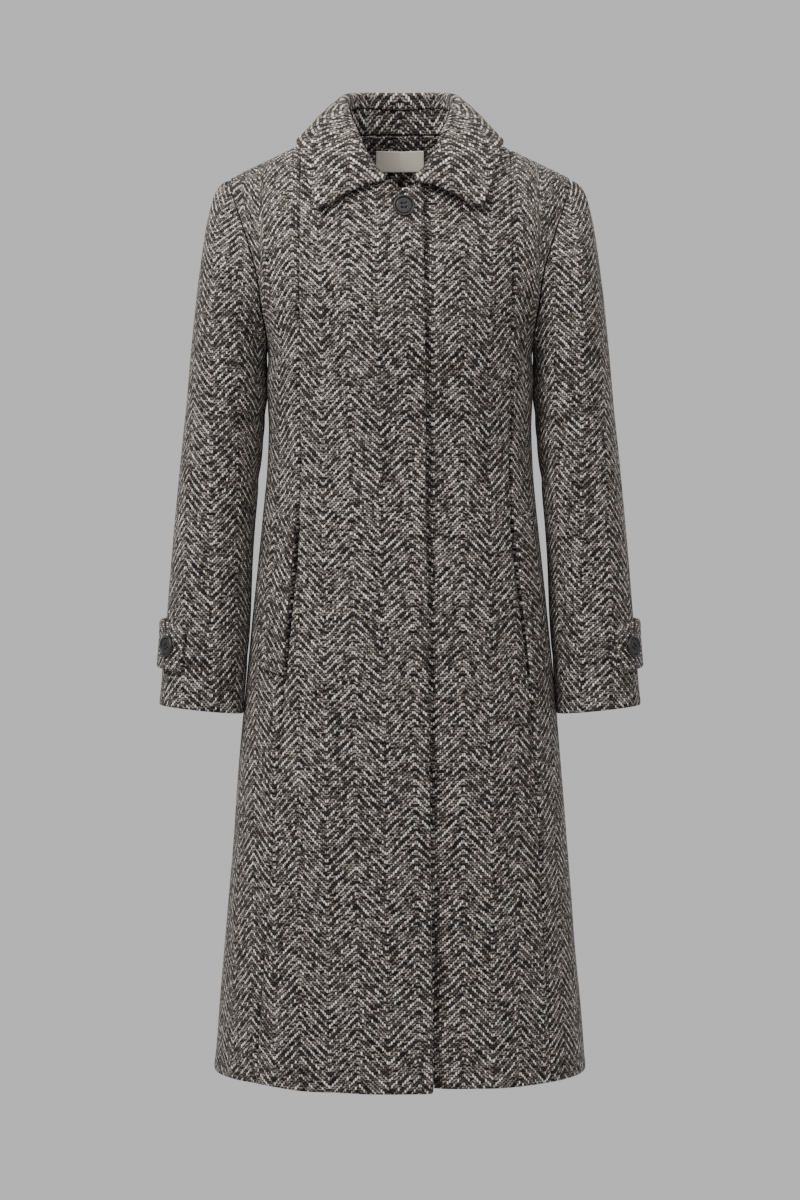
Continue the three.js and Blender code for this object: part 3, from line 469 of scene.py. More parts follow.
def body_normal(face, angle, z):
    turn_step, height_step, below_ridge = 0.004, 0.4, 2.5
    level = np.minimum(z, shoulder_z(body_point(face, angle, z)[..., 0]) - below_ridge)
    limit = math.pi / 2 - 2 * turn_step
    turn = np.clip(angle, -limit, limit)
    across = body_point(face, turn + turn_step, level) - body_point(face, turn - turn_step, level)
    up = body_point(face, turn, level + height_step) - body_point(face, turn, level - height_step)
    n = unit(np.cross(across, up))
    return np.where((n[..., 1] * face < 0)[..., None], -n, n)


def height_over(x, y, face):
    """Height of the body's surface over a point seen from above, near the shoulders"""
    power, close, start = POWER[face], CLOSE[face], CLOSE_FROM[face]
    z = shoulder_z(x)
    for _ in range(14):
        ring = (1 - np.clip(np.abs(x) / body_half(z), 0, 0.999) ** power) ** (1 / power)
        share = np.clip(np.abs(y) / (DEPTH[face](z) * ring), 0, 1)
        z = start + (shoulder_z(x) - start) * (1 - share**close) ** (1 / close)
    return z


RIDGE_HALF = 8.0  # the two faces meet in a ridge, which the cloth over it rounds off


def over_body(x, y):
    """Height and outward direction of the body's surface over a point seen from above"""
    z_front, z_back = height_over(x, y, FRONT), height_over(x, y, BACK)
    n_front = body_normal(FRONT, angle_at(FRONT, x, z_front), z_front)
    n_back = body_normal(BACK, angle_at(BACK, x, z_back), z_back)
    share = smoothstep(-RIDGE_HALF, RIDGE_HALF, y)[..., None]
    return np.where(y < 0, z_front, z_back), unit(mix(n_front, n_back, share))


# Meshes from grids
def lengths(grid, axis):
    """Distance along the rows (axis 1) or columns (axis 0) of a grid from its first points"""
    steps = np.linalg.norm(np.diff(grid, axis=axis), axis=-1)
    total = np.cumsum(steps, axis=axis)
    return np.insert(total, 0, 0, axis=axis)


def edge_distances(grid):
    across, down = lengths(grid, 1), lengths(grid, 0)
    return {
        "first": across,
        "last": across[:, -1:] - across,
        "bottom": down,
        "top": down[-1:, :] - down,
    }


def round_over(distance, radius):
    """Drop of a rounded edge at a distance from it, from 1 at the edge to 0 at the radius"""
    x = np.clip(1 - distance / radius, 0, 1)
    return 1 - np.sqrt(1 - x * x)


def grid_normals(grid):
    return unit(np.cross(np.gradient(grid, axis=0), np.gradient(grid, axis=1)))


COLLECTION = bpy.context.collection


def wall_mesh(name, outer, inner, uv):
    """A closed mesh between an outer and an inner grid, both with the same place on the cloth"""
    rows, cols = outer.shape[:2]
    count = rows * cols
    points = np.concatenate([outer.reshape(-1, 3), inner.reshape(-1, 3)])
    index = np.arange(count).reshape(rows, cols)

    def quads(a, b, c, d):
        return np.stack([a.ravel(), b.ravel(), c.ravel(), d.ravel()], axis=1)

    i00, i01, i10, i11 = index[:-1, :-1], index[:-1, 1:], index[1:, :-1], index[1:, 1:]
    faces = [quads(i00, i01, i11, i10), quads(i00 + count, i10 + count, i11 + count, i01 + count)]
    rim = np.concatenate([index[0, :], index[1:, -1], index[-1, -2::-1], index[-2::-1, 0]])
    a, b = rim[:-1], rim[1:]
    faces.append(quads(b, a, a + count, b + count))
    faces = np.concatenate(faces)
    p = [points[faces[:, k]] for k in range(4)]
    volume = np.sum(dot(p[0], np.cross(p[1], p[2])) + dot(p[0], np.cross(p[2], p[3])))
    if volume < 0:
        faces = faces[:, ::-1]
    mesh = bpy.data.meshes.new(name)
    mesh.vertices.add(len(points))
    mesh.vertices.foreach_set("co", (points * MM).astype(np.float32).ravel())
    mesh.loops.add(faces.size)
    mesh.loops.foreach_set("vertex_index", faces.astype(np.int32).ravel())
    mesh.polygons.add(len(faces))
    mesh.polygons.foreach_set("loop_start", np.arange(0, faces.size, 4, dtype=np.int32))
    mesh.polygons.foreach_set("loop_total", np.full(len(faces), 4, np.int32))
    mesh.polygons.foreach_set("use_smooth", np.ones(len(faces), bool))
    layer = mesh.uv_layers.new(name="cloth")
    flat = np.concatenate([uv.reshape(-1, 2)] * 2)[faces.ravel()]
    layer.data.foreach_set("uv", (flat * MM).astype(np.float32).ravel())
    mesh.update(calc_edges=True)
    mesh.validate()
    return mesh


def add_trim(name, mesh):
    """An object of the coat's one body"""
    obj = bpy.data.objects.new(name, mesh)
    COLLECTION.objects.link(obj)
    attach(obj, "root")
    return obj


def add_piece(name, mesh, material, node):
    """The same, in the place of a solid"""
    mesh.materials.append(material)
    obj = add_trim(name, mesh)
    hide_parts(node)
    return obj


def cloth_piece(name, outer, inner, uv, material=TWEED, slot="tweed", held="hung"):
    """A piece of cloth between two grids, in the place of the solid of that name"""
    obj = add_piece(name + "_cloth", wall_mesh(name + "_cloth", outer, inner, uv), material, name)


# Body panels
TIP_Z = float(shoulder_z(TIP_X))
TIP_ANGLES = [math.degrees(angle_at(face, TIP_X, TIP_Z)) for face in (FRONT, BACK)]
# The armhole from the underarm to the tip of the shoulder: its height, and its angle on each face
ARMHOLE = table(
    "along z front back",
    (0, -248, 90, 90),
    (0.14, -236, 77.7, 79),
    (0.255, -212, 70.5, 71),
    (0.41, -175, 62, 62.5),
    (0.575, -135, 60.8, 59.5),
    (0.77, -93, 62.5, 60.5),
    (0.9, -66, 64.4, 62.6),
    (1, TIP_Z, *TIP_ANGLES),
)
armhole_z = follow(ARMHOLE, "along", "z")
armhole_angle = {FRONT: follow(ARMHOLE, "along", "front"), BACK: follow(ARMHOLE, "along", "back")}


def neckline(face, degrees):
    """Angle and height of the neckline, from the side neck (0) to the middle (90) and past it"""
    turn = np.radians(degrees)
    x = NECK_HALF * signed_power(np.cos(turn), NECK_ROUND)
    if face == FRONT:
        z = NECK_SIDE_Z - FRONT_NECK_DROP * np.sin(turn) ** NECK_ROUND
    else:
        z = NECK_SIDE_Z + BACK_NECK_RISE * np.sin(turn) ** 4
    return angle_at(face, x, z), z


def shoulder(face, x):
    z = shoulder_z(x)
    return angle_at(face, x, z), z


def armhole(face, t):
    return np.radians(armhole_angle[face](t)), armhole_z(t)


def choose(conditions, pairs, default):
    """The pair of angle and height whose condition holds"""
    return tuple(np.select(conditions, [p[k] for p in pairs], default[k]) for k in (0, 1))


def panel_place(panel, across, up):
    """Where a panel lies, as an angle and a height. across runs from its first edge to its last, and
    up from the hem (0) to the underarm (1) and on to the shoulder or neck (2)."""
    first, last = panel["first"], panel["last"]

    def low(z):
        return mix(first(z), last(z), across)

    low_z = mix(panel["hem"](across), UNDERARM_Z, np.minimum(up, 1))
    t = np.clip(up - 1, 0, 1)
    rise = np.sin(t * math.pi / 2)
    zero, one = np.zeros(1), np.ones(1)
    (first_a, first_z), (last_a, last_z) = panel["top"](zero), panel["top"](one)
    top_a, top_z = panel["top"](across)
    z0, z1 = mix(UNDERARM_Z, first_z, rise), mix(UNDERARM_Z, last_z, rise)
    edge_a, edge_z = armhole(panel["face"], t) if panel["armhole"] else (last(z1), z1)
    corner_a = mix(mix(first(UNDERARM_Z), first_a, t), mix(last(UNDERARM_Z), last_a, t), across)
    angle_up = mix(low(UNDERARM_Z), top_a, t) - corner_a
    z_up = mix(UNDERARM_Z, top_z, rise) - mix(z0, z1, across)
    high_a = mix(first(z0), edge_a, across) + angle_up
    high_z = mix(z0, edge_z, across) + z_up
    return np.where(up < 1, low(low_z), high_a), np.where(up < 1, low_z, high_z)


EDGE_ROWS = (0, 0.35, 0.9, 1.7, 2.8, 4.2)  # places of the rows along an edge, so that it can be rolled


def shares(width, step):
    """Shares from 0 to 1 of a width, close together at both ends"""
    near = [d / width for d in EDGE_ROWS]
    count = max(2, round((1 - 2 * near[-1]) * width / step))
    middle = np.linspace(near[-1], 1 - near[-1], count + 1)
    return np.array([*near[:-1], *middle, *[1 - d for d in near[-2::-1]]])


def shares_to_end(width, count):
    """Shares from 0 to 1 of a width, evenly apart and then close together at the end"""
    near = [d / width for d in EDGE_ROWS]
    return np.array([*np.linspace(0, 1 - near[-1], count), *[1 - d for d in near[-2::-1]]])


BELOW_ARM = UNDERARM_Z - HEM_Z
# Rows of a body panel: close together at the hem, every 4 mm to the underarm, and on to its top
UP_SHARES = np.array(
    [
        *[d / BELOW_ARM for d in EDGE_ROWS],
        *np.linspace(8 / BELOW_ARM, 1, 203),
        *np.linspace(1, 2, 71)[1:-1],
        *(1.99, 1.994, 1.997, 1.999, 2),
    ]
)


ARC_STEPS = 40  # straight steps that an arc is measured in


def section_arc(face, x0, x1, z):
    """Distance round the body at one height, without its closing over the shoulder"""
    a0, a1 = angle_at(face, x0, z), angle_at(face, x1, z)
    s = np.linspace(0, 1, ARC_STEPS + 1).reshape(-1, *([1] * np.ndim(a1 + z)))
    angle = mix(a0, a1, s)
    power = POWER[face]
    x = body_half(z) * signed_power(np.sin(angle), 2 / power)
    y = DEPTH[face](z) * np.maximum(0, np.cos(angle)) ** (2 / power)
    total = np.sum(np.hypot(np.diff(x, axis=0), np.diff(y, axis=0)), axis=0)
    return total * np.sign(x1 - x0)


def rise_arc(face, x, z):
    """Height up the cloth at one x, which follows its bend over the shoulder"""
    start = CLOSE_FROM[face]
    s = np.sin(np.linspace(0, 1, ARC_STEPS + 1) * math.pi / 2).reshape(-1, *([1] * np.ndim(x + z)))
    top = np.maximum(z, start)
    level = mix(start, top, s)
    p = body_point(face, angle_at(face, x, level), level)
    steps = np.diff(p, axis=0)
    steps[..., 0] = 0
    return np.minimum(z, start) + np.sum(np.linalg.norm(steps, axis=-1), axis=0)


def smooth_noise(seed, size, count, u, v):
    """A soft random surface of sines, with a size in millimetres and a height of about 1"""
    rng = np.random.default_rng(seed)
    total = np.zeros(np.broadcast(u, v).shape)
    for _ in range(count):
        turn = rng.uniform(0, math.tau)
        length = size * rng.uniform(0.7, 1.6)
        phase = rng.uniform(0, math.tau)
        total += np.sin((u * math.cos(turn) + v * math.sin(turn)) * math.tau / length + phase)
    return total / math.sqrt(count)


# Soft creases: a face, the two ends of the crease's line, half its width and its height
CREASES = table(
    "face x0 z0 x1 z1 half height",
    (FRONT, -150, -262, -96, -216, 9, -1.4),
    (FRONT, -150, -290, -104, -250, 10, 1.2),
    (FRONT, 150, -258, 100, -222, 9, -1.4),
    (FRONT, 150, -286, 108, -254, 11, 1.2),
    (FRONT, -148, -392, -70, -372, 16, -1.2),
    (FRONT, 148, -396, 84, -378, 15, -1.2),
    (FRONT, -60, -330, -84, -560, 16, 1.0),
    (FRONT, 58, -350, 76, -560, 15, 0.8),
    (FRONT, -44, -640, -60, -1000, 18, -1.5),
    (FRONT, 52, -620, 66, -980, 20, -1.6),
    (FRONT, 94, -700, 112, -1040, 18, 1.4),
    (FRONT, -90, -720, -104, -1050, 18, 1.4),
    (BACK, -148, -264, -84, -206, 12, -2.2),
    (BACK, -146, -296, -90, -246, 12, 1.6),
    (BACK, 148, -262, 88, -208, 12, -2.2),
    (BACK, 146, -294, 92, -248, 12, 1.6),
    (BACK, -140, -352, -30, -384, 18, -2.2),
    (BACK, 140, -356, 34, -390, 18, -2.0),
    (BACK, -120, -392, -20, -424, 18, 1.6),
    (BACK, 124, -398, 26, -430, 18, 1.5),
)


def crease_height(face, x, z):
    total = np.zeros(np.shape(x))
    for c in CREASES:
        if c["face"] != face:
            continue
        dx, dz = c["x1"] - c["x0"], c["z1"] - c["z0"]
        length = math.hypot(dx, dz)
        along = ((x - c["x0"]) * dx + (z - c["z0"]) * dz) / length
        away = ((x - c["x0"]) * dz - (z - c["z0"]) * dx) / length
        share = along / length
        fade = smoothstep(-0.25, 0.3, share) * smoothstep(1.25, 0.7, share)
        total += c["height"] * hump(away, c["half"]) * fade
    return total


def blend_to(direction, special, distance, reach=7.0):
    """The direction turns into the special one near an edge"""
    share = (1 - smoothstep(0, reach, distance))[..., None]
    return unit(mix(direction, special, share))


def flat_y(n):
    """The direction without its part along Y, as at a seam in the plane of the shoulders"""
    return unit(n * np.array([1, 0, 1]))


def flat_x(n):
    return unit(n * np.array([0, 1, 1]))


SEAM_GAP = 0.04  # between two pieces that are sewn together
MIDDLE_GAP = 0.004  # at the middle of the back, where an eye in line with the seam would see through it
SEAM_DROP = 1.5  # how far a sewn edge turns down into its seam, and how far from it that begins
SEAM_RADIUS = 3.4
SWELL_FROM_EDGE, SWELL_HALF = 7.0, 6.0  # where a free edge is plump
INNER_SWELL = 0.4  # and how much of that shows inside
ROLLED = 0.48  # share of the thickness that a free edge is rolled by on each side
ROLL_REACH = 1.15  # and how far from the edge that begins, as a share of it
EDGE_PLUMP = 0.5
ALL_EDGES = ("first", "last", "bottom", "top")
FIRST_CORNERS = (("first", "top"), ("first", "bottom"))
LAST_CORNERS = (("last", "top"), ("last", "bottom"))


def pull_in(grid, edges, gap=SEAM_GAP / 2, first_gap=SEAM_GAP / 2):
    """Draws the named edges of a grid in by half a seam"""
    grid = grid.copy()
    if "first" in edges:
        grid[:, 0] += unit(grid[:, 1] - grid[:, 0]) * first_gap
    if "last" in edges:
        grid[:, -1] += unit(grid[:, -2] - grid[:, -1]) * gap
    if "bottom" in edges:
        grid[0] += unit(grid[1] - grid[0]) * gap
    if "top" in edges:
        grid[-1] += unit(grid[-2] - grid[-1]) * gap
    return grid


def inward_of(grid, edge):
    """Directions along the grid away from one of its edges"""
    axis = 1 if edge in ("first", "last") else 0
    return unit(np.gradient(grid, axis=axis)) * (1 if edge in ("first", "bottom") else -1)


def round_corner(grid, edges, radius):
    """Turns the square corner between two edges of a grid into a round one"""
    away = edge_distances(grid)
    a, b = (np.clip(1 - away[edge] / radius, 0, 1) for edge in edges)
    move_a = radius * a * (1 - np.sqrt(1 - b * b / 2))
    move_b = radius * b * (1 - np.sqrt(1 - a * a / 2))
    moved = inward_of(grid, edges[0]) * move_a[..., None] + inward_of(grid, edges[1]) * move_b[..., None]
    return grid + moved


def layers(surface, outward, inward, thickness, seams=(), free=(), plump=0.0):
    """Outer and inner grids of a cloth wall. Its edges at seams turn down into the seam, and its free
    edges are rolled round from outside to inside. plump thickens it a little near the free edges."""
    away = edge_distances(surface)
    outside = np.zeros(surface.shape[:2])
    inside = np.zeros(surface.shape[:2])
    for edge in seams:
        outside = np.maximum(outside, SEAM_DROP * round_over(away[edge], SEAM_RADIUS))
    for edge in free:
        half = thickness * ROLLED
        drop = half * round_over(away[edge], half * ROLL_REACH)
        outside, inside = np.maximum(outside, drop), np.maximum(inside, drop)
        swell = plump * hump(away[edge] - SWELL_FROM_EDGE, SWELL_HALF)
        outside, inside = outside - swell, inside - swell * INNER_SWELL
    outer = surface - outward * outside[..., None]
    inner = surface - inward * (thickness - inside)[..., None]
    return outer, inner


def armhole_edges(face, t, side):
    """Directions through the body's and the sleeve's cloth at the armhole, the same where they can be"""
    angle, z = armhole(face, t)
    n = body_normal(face, angle, z)
    ends = ((t >= 1) | (t <= 0))[..., None]
    body = np.where(ends, flat_y(n), n)
    sleeve = sleeve_normal(face, t, np.zeros_like(t))
    share = smoothstep(0, 0.35, dot(body, sleeve))[..., None]
    turn = np.array([side, 1, 1])
    return unit(body + sleeve * share) * turn, unit(sleeve + body * share) * turn


FRONT_SHIFT = {RIGHT: 14.0, LEFT: 91.5}  # where the columns of the weave lie, as in the photo
BACK_SHIFT = 8.0
FLY = 2.6  # more cloth behind the top front edge, where the hidden fly is
FLY_WIDTH = (30.0, 46.0)  # from where to where it thins out
POCKET_Z = (-612.0, -443.0)  # foot and top of a pocket
POCKET_DEPTH, POCKET_HALF = 9.0, 2.2
PRESSED, PRESSED_HALF = 2.7, 2.3  # how far pressing sinks the princess seams, and half how wide
PRESSED_LOW = 0.45  # the share of it that is left below the pockets
PRESSED_LOW_Z = (-690.0, -590.0)
PRESSED_FROM_SHOULDER = 14.0
UNEVEN = 0.35  # the cloth below the neck is never quite even
UNEVEN_SIZE = 120.0
UNEVEN_WAVES = 9


def body_panel(panel):
    """Grids and places on the cloth of a body panel"""
    face, side = panel["face"], panel["side"]
    across = shares(panel["width"], 4.0)[None, :]
    up = UP_SHARES[:, None]
    angle, z = panel_place(panel, across, up)
    angle, z = np.broadcast_arrays(angle, z)
    surface = body_point(face, side * angle, z)
    n = body_normal(face, side * angle, z)
    x = surface[..., 0].copy()
    height = panel["lift"](side * x, z) + crease_height(face, x, z)
    uneven = UNEVEN * smooth_noise(11 + 3 * face + side, UNEVEN_SIZE, UNEVEN_WAVES, x, z)
    height += uneven * smoothstep(-60, -120, z)
    surface = surface + n * height[..., None]
    away = edge_distances(surface)
    if face == FRONT:
        # The princess seam is left open at the pocket, and both its edges turn in there
        low, high = POCKET_Z
        opening = smoothstep(low - 6, low + 6, z) * smoothstep(high + 5, high - 5, z)
        sunk = POCKET_DEPTH * opening * hump(away["first"], POCKET_HALF)
        pressed = PRESSED * mix(PRESSED_LOW, 1, smoothstep(*PRESSED_LOW_Z, z))
        pressed = pressed * smoothstep(0, PRESSED_FROM_SHOULDER, away["top"])
        sunk += pressed * (1 - opening) * hump(away["first"], PRESSED_HALF)
        surface = surface - n * sunk[..., None]
    inward = n
    if panel["armhole"]:
        t = np.clip(up[:, 0] - 1, 0, 1)
        special = np.where((up > 1)[..., None], armhole_edges(face, t, side)[0][:, None, :], flat_y(n))
        inward = blend_to(inward, special, away["last"])
    if face == BACK:
        inward = blend_to(inward, flat_x(n), away["first"])
    top_flat = panel["shoulder"](across)[..., None]
    inward = unit(mix(inward, blend_to(inward, flat_y(n), away["top"]), top_flat))
    first_gap = MIDDLE_GAP if face == BACK else SEAM_GAP
    surface = pull_in(surface, panel["seams"], first_gap=first_gap / 2)
    for edges, radius in panel.get("corners", ()):
        surface = round_corner(surface, edges, radius)
    thickness = CLOTH + panel["fly"] * (1 - smoothstep(*FLY_WIDTH, away["last"]))
    outer, inner = layers(surface, n, inward, thickness, panel["seams"], panel["free"], EDGE_PLUMP)
    u = section_arc(face, panel["grain"](z), x, z)
    v = rise_arc(face, x, z)
    uv = np.stack([u * side * (-1 if face == FRONT else 1) + panel["shift"], v], axis=-1)
    return outer, inner, uv


NECK_FRONT_Z = NECK_SIDE_Z - FRONT_NECK_DROP
EDGE_PAST_GRAIN = (4.5, 1.0)  # how far the edge swings past its grain, at the neck and at the hem


def down_front(z):
    """Share of the way down the front edge"""
    return np.clip((z - NECK_FRONT_Z) / (HEM_Z - NECK_FRONT_Z), 0, 1)


def over_grain(z):
    """The line down the top front that its weave runs along"""
    return mix(FRONT_EXTENSION_TOP, FRONT_EXTENSION_HEM, down_front(z))


def over_extension(z):
    """The edge of the front on top, which swings a little past its grain towards the neck"""
    return over_grain(z) + mix(*EDGE_PAST_GRAIN, down_front(z))


def under_extension(z):
    return UNDER_EXTENSION + 0 * z


BARE_NECK_DROP = 6.0  # the turned edge between the collar's ends sags a little
TROUGH = 3.4  # depth of the trough down the lower front, at the neck
TROUGH_GROWTH = 2.6  # and how many times deeper it is at the hem
TROUGH_HALF = (5.0, 8.0)  # half its width, at the neck and at the hem
TROUGH_FROM_EDGE = 2.0


def lift_to(height, trough=0.0):
    """How far a front stands off the body near the closing. The lower front also sinks a little in a
    soft trough along the edge that lies over it."""

    def lift(x, z):
        depth = trough * mix(1.0, TROUGH_GROWTH, down_front(z))
        away = x - over_extension(z) - TROUGH_FROM_EDGE
        sunk = depth * hump(away, mix(*TROUGH_HALF, down_front(z)))
        return height * (1 - smoothstep(LIFT_FULL_X, LIFT_NONE_X, x)) - sunk

    return lift


SHOULDER_SHARE = 0.3  # share of a front's top that is its shoulder seam
NECK_SHARE = 0.8  # and where its neck seam ends
NECK_CORNER, HEM_CORNER = 9.0, 4.0  # radii of the front edge's corners


def front_panel(side, extension, grain, lift, drop=0.0, fly=0.0):
    """The front between the princess seam and the front edge"""
    past = math.degrees(math.asin((float(extension(NECK_FRONT_Z)) / NECK_HALF) ** (1 / NECK_ROUND)))

    def top(across):
        seam_x = princess_x[side](0.0)
        share = np.clip((across - SHOULDER_SHARE) / (NECK_SHARE - SHOULDER_SHARE), 0, 1)
        beyond = np.clip((across - NECK_SHARE) / (1 - NECK_SHARE), 0, 1)
        on_shoulder = shoulder(FRONT, mix(seam_x, NECK_HALF, np.clip(across / SHOULDER_SHARE, 0, 1)))
        collar = neckline(FRONT, COLLAR_ANGLE * share)
        bare_angle, bare_z = neckline(FRONT, mix(COLLAR_ANGLE, 90 + past, beyond))
        bare = bare_angle, bare_z - BARE_NECK_DROP * smoothstep(0, 0.3, beyond)
        return choose([across < SHOULDER_SHARE, across <= NECK_SHARE], [on_shoulder, collar], bare)

    return dict(
        face=FRONT,
        side=side,
        width=140,
        armhole=False,
        first=lambda z: angle_at(FRONT, princess_x[side](z), z),
        last=lambda z: angle_at(FRONT, -extension(z), z),
        top=top,
        hem=lambda across: HEM_Z - drop * smoothstep(-0.1, 0.6, across),
        lift=lift,
        shoulder=lambda across: (across <= SHOULDER_SHARE) * 1.0,
        seams=("first", "top"),
        free=("last", "bottom"),
        corners=((("last", "top"), NECK_CORNER), (("last", "bottom"), HEM_CORNER)),
        fly=fly,
        grain=lambda z: -side * grain(z),
        shift=FRONT_SHIFT[side],
    )


# What the side fronts and the backs have in common: they end at the side seam and the armhole
OUTER_PANEL = dict(
    armhole=True,
    last=lambda z: math.pi / 2 + 0 * z,
    hem=lambda across: HEM_Z + 0 * across,
    lift=lambda x, z: 0 * x,
    seams=("first", "last", "top"),
    free=("bottom",),
    fly=0.0,
)


def side_front_panel(side, grain):
    """The front between the princess seam and the side seam"""
    seam_x = float(princess_x[side](0.0))
    return OUTER_PANEL | dict(
        face=FRONT,
        side=side,
        width=78,
        first=lambda z: angle_at(FRONT, princess_x[side](z), z),
        top=lambda across: shoulder(FRONT, mix(seam_x, TIP_X, across)),
        shoulder=lambda across: 1.0 + 0 * across,
        grain=lambda z: -side * grain(z),
        shift=FRONT_SHIFT[side],
    )


BACK_NECK_SHARE = 5 / 11  # share of a back's top that is its neck seam


def back_panel(side):
    """Half the back, from its middle seam to the side seam"""

    def top(across):
        share = np.clip(across / BACK_NECK_SHARE, 0, 1)
        past = np.clip((across - BACK_NECK_SHARE) / (1 - BACK_NECK_SHARE), 0, 1)
        neck = neckline(BACK, 90 * (1 - share))
        return choose([across < BACK_NECK_SHARE], [neck], shoulder(BACK, mix(NECK_HALF, TIP_X, past)))

    return OUTER_PANEL | dict(
        face=BACK,
        side=side,
        width=200,
        first=lambda z: 0 * z,
        top=top,
        shoulder=lambda across: (across >= BACK_NECK_SHARE) * 1.0,
        grain=lambda z: 0 * z,
        shift=BACK_SHIFT,
    )


# Sleeves
sleeve_at = {name: follow(SLEEVE, "z", name) for name in ("outer", "inner", "middle", "depth")}


def sleeve_oval(z):
    """The sleeve's section at a height: its middle across and deep, and half of what it measures"""
    outer, inner, middle, depth = (sleeve_at[name](z) for name in ("outer", "inner", "middle", "depth"))
    return (outer + inner) / 2, middle, (outer - inner) / 2, depth


def sleeve_ring(z, turn):
    """A point of the section. The turn is 0 outside, and a quarter in front."""
    x, y, half, depth = sleeve_oval(z)
    return stack(x + half * np.cos(turn), y - depth * np.sin(turn), z)


def out_of_oval(n, p):
    """Directions at points of the sleeve, turned round where they point into it"""
    x, y, *_ = sleeve_oval(p[..., 2])
    side = n[..., 0] * (p[..., 0] - x) + n[..., 1] * (p[..., 1] - y)
    return np.where((side < 0)[..., None], -n, n)


def sleeve_point(face, t, v):
    """A point of the left sleeve from a place on the armhole (t) and the way down to the cuff (v)"""
    angle, start_z = armhole(face, t)
    start = body_point(face, angle, start_z)
    turn = -face * math.pi * (1 - t)
    end = CUFF_Z + CUFF_TILT * np.cos(turn)
    z = mix(start_z, end, v)
    blend = CAP_BLEND + UNDERARM_BLEND * np.sin(turn / 2) ** 2
    share = np.clip(1 - (start_z - z) / blend, 0, 1) ** 3
    return sleeve_ring(z, turn) + (start - sleeve_ring(start_z, turn)) * share[..., None]


def sleeve_normal(face, t, v):
    round_step, down_step = 0.01, 0.004
    mid_t = np.clip(t, round_step, 1 - round_step)
    mid_v = np.clip(v, down_step, 1 - down_step)
    across = sleeve_point(face, mid_t + round_step, mid_v) - sleeve_point(face, mid_t - round_step, mid_v)
    down = sleeve_point(face, mid_t, mid_v + down_step) - sleeve_point(face, mid_t, mid_v - down_step)
    n = out_of_oval(unit(np.cross(across, down)), sleeve_point(face, t, v))
    ends = ((t <= 0) | (t >= 1))[..., None]
    return np.where(ends, flat_y(n), n)


# Soft creases round the sleeve: the height and turn where each is deepest, its slant in millimetres
# of height for each degree, half its height, the turn it reaches either way, and how far it stands
SLEEVE_CREASES = table(
    "z turn slant half reach height",
    (-330, 140, 0.25, 9, 48, -2.4),
    (-352, 128, -0.1, 9, 60, 1.6),
    (-374, 138, -0.35, 9, 52, -2.2),
    (-300, 150, 0.5, 11, 44, 1.4),
    (-400, 118, -0.3, 12, 46, 1.2),
    (-268, 160, 0.7, 9, 40, -1.6),
    (-345, -120, 0.2, 14, 60, -1.6),
    (-378, -128, -0.2, 14, 60, 1.4),
    (-140, -60, -0.6, 14, 50, 1.0),
    (-600, 150, 0.2, 10, 50, -1.0),
)


def sleeve_crease(z, turn):
    degrees = np.degrees(turn)
    total = np.zeros(np.shape(z))
    for c in SLEEVE_CREASES:
        off = (degrees - c["turn"] + 180) % 360 - 180
        away = z - c["z"] - c["slant"] * off
        total += c["height"] * hump(away, c["half"]) * hump(off, c["reach"])
    return total


FRONT_SEAM_T = 4 / 12  # places of the sleeve's seams on the armhole, from the underarm
BACK_SEAM_T = 5 / 12
# Rows close together at the armhole and at the cuff
SLEEVE_TOP_ROWS = (0, 0.0006, 0.0015, 0.003, 0.005)
SLEEVE_END_ROWS = (0.9955, 0.997, 0.9985, 0.9994, 1)
SLEEVE_V = np.array([*SLEEVE_TOP_ROWS, *np.linspace(0.008, 0.993, 148), *SLEEVE_END_ROWS])
HEAD_STAND = 1.6  # the head of the sleeve is eased in, and stands a little proud of the seam
HEAD_FROM_SEAM, HEAD_HALF = 13.0, 11.0
CREASE_FROM_SEAM = 5.0  # the creases fade in over this length


def sleeve_half(columns):
    """Grids of a sleeve piece and its places on the cloth, from its columns"""
    v = SLEEVE_V[:, None]
    surface, normal, inward, turns = [], [], [], []
    for face, t in columns:
        t = t + 0 * v
        n = sleeve_normal(face, t, v)
        surface.append(sleeve_point(face, t, v)[:, 0])
        normal.append(n[:, 0])
        inward.append(np.where((v == 0)[..., None], armhole_edges(face, t, LEFT)[1], n)[:, 0])
        turns.append((-face * math.pi * (1 - t))[:, 0])
    surface, normal = np.stack(surface, 1), np.stack(normal, 1)
    turn = np.unwrap(np.stack(turns, 1), axis=1)
    edge = np.stack(inward, 1)[:1]
    z = surface[..., 2]
    away = edge_distances(surface)
    crease = sleeve_crease(z, turn)
    head = np.clip(np.cos(turn), 0, 1) ** 0.5
    crease = crease + HEAD_STAND * head * hump(away["bottom"] - HEAD_FROM_SEAM, HEAD_HALF)
    surface = surface + normal * (crease * smoothstep(0, CREASE_FROM_SEAM, away["bottom"]))[..., None]
    inward = blend_to(normal, edge + 0 * normal, away["bottom"])
    seams = ("first", "last", "bottom")
    surface = pull_in(surface, seams)
    outer, inner = layers(surface, normal, inward, CLOTH, seams, ("top",), EDGE_PLUMP)
    return outer, inner, sleeve_flat(surface, turn)


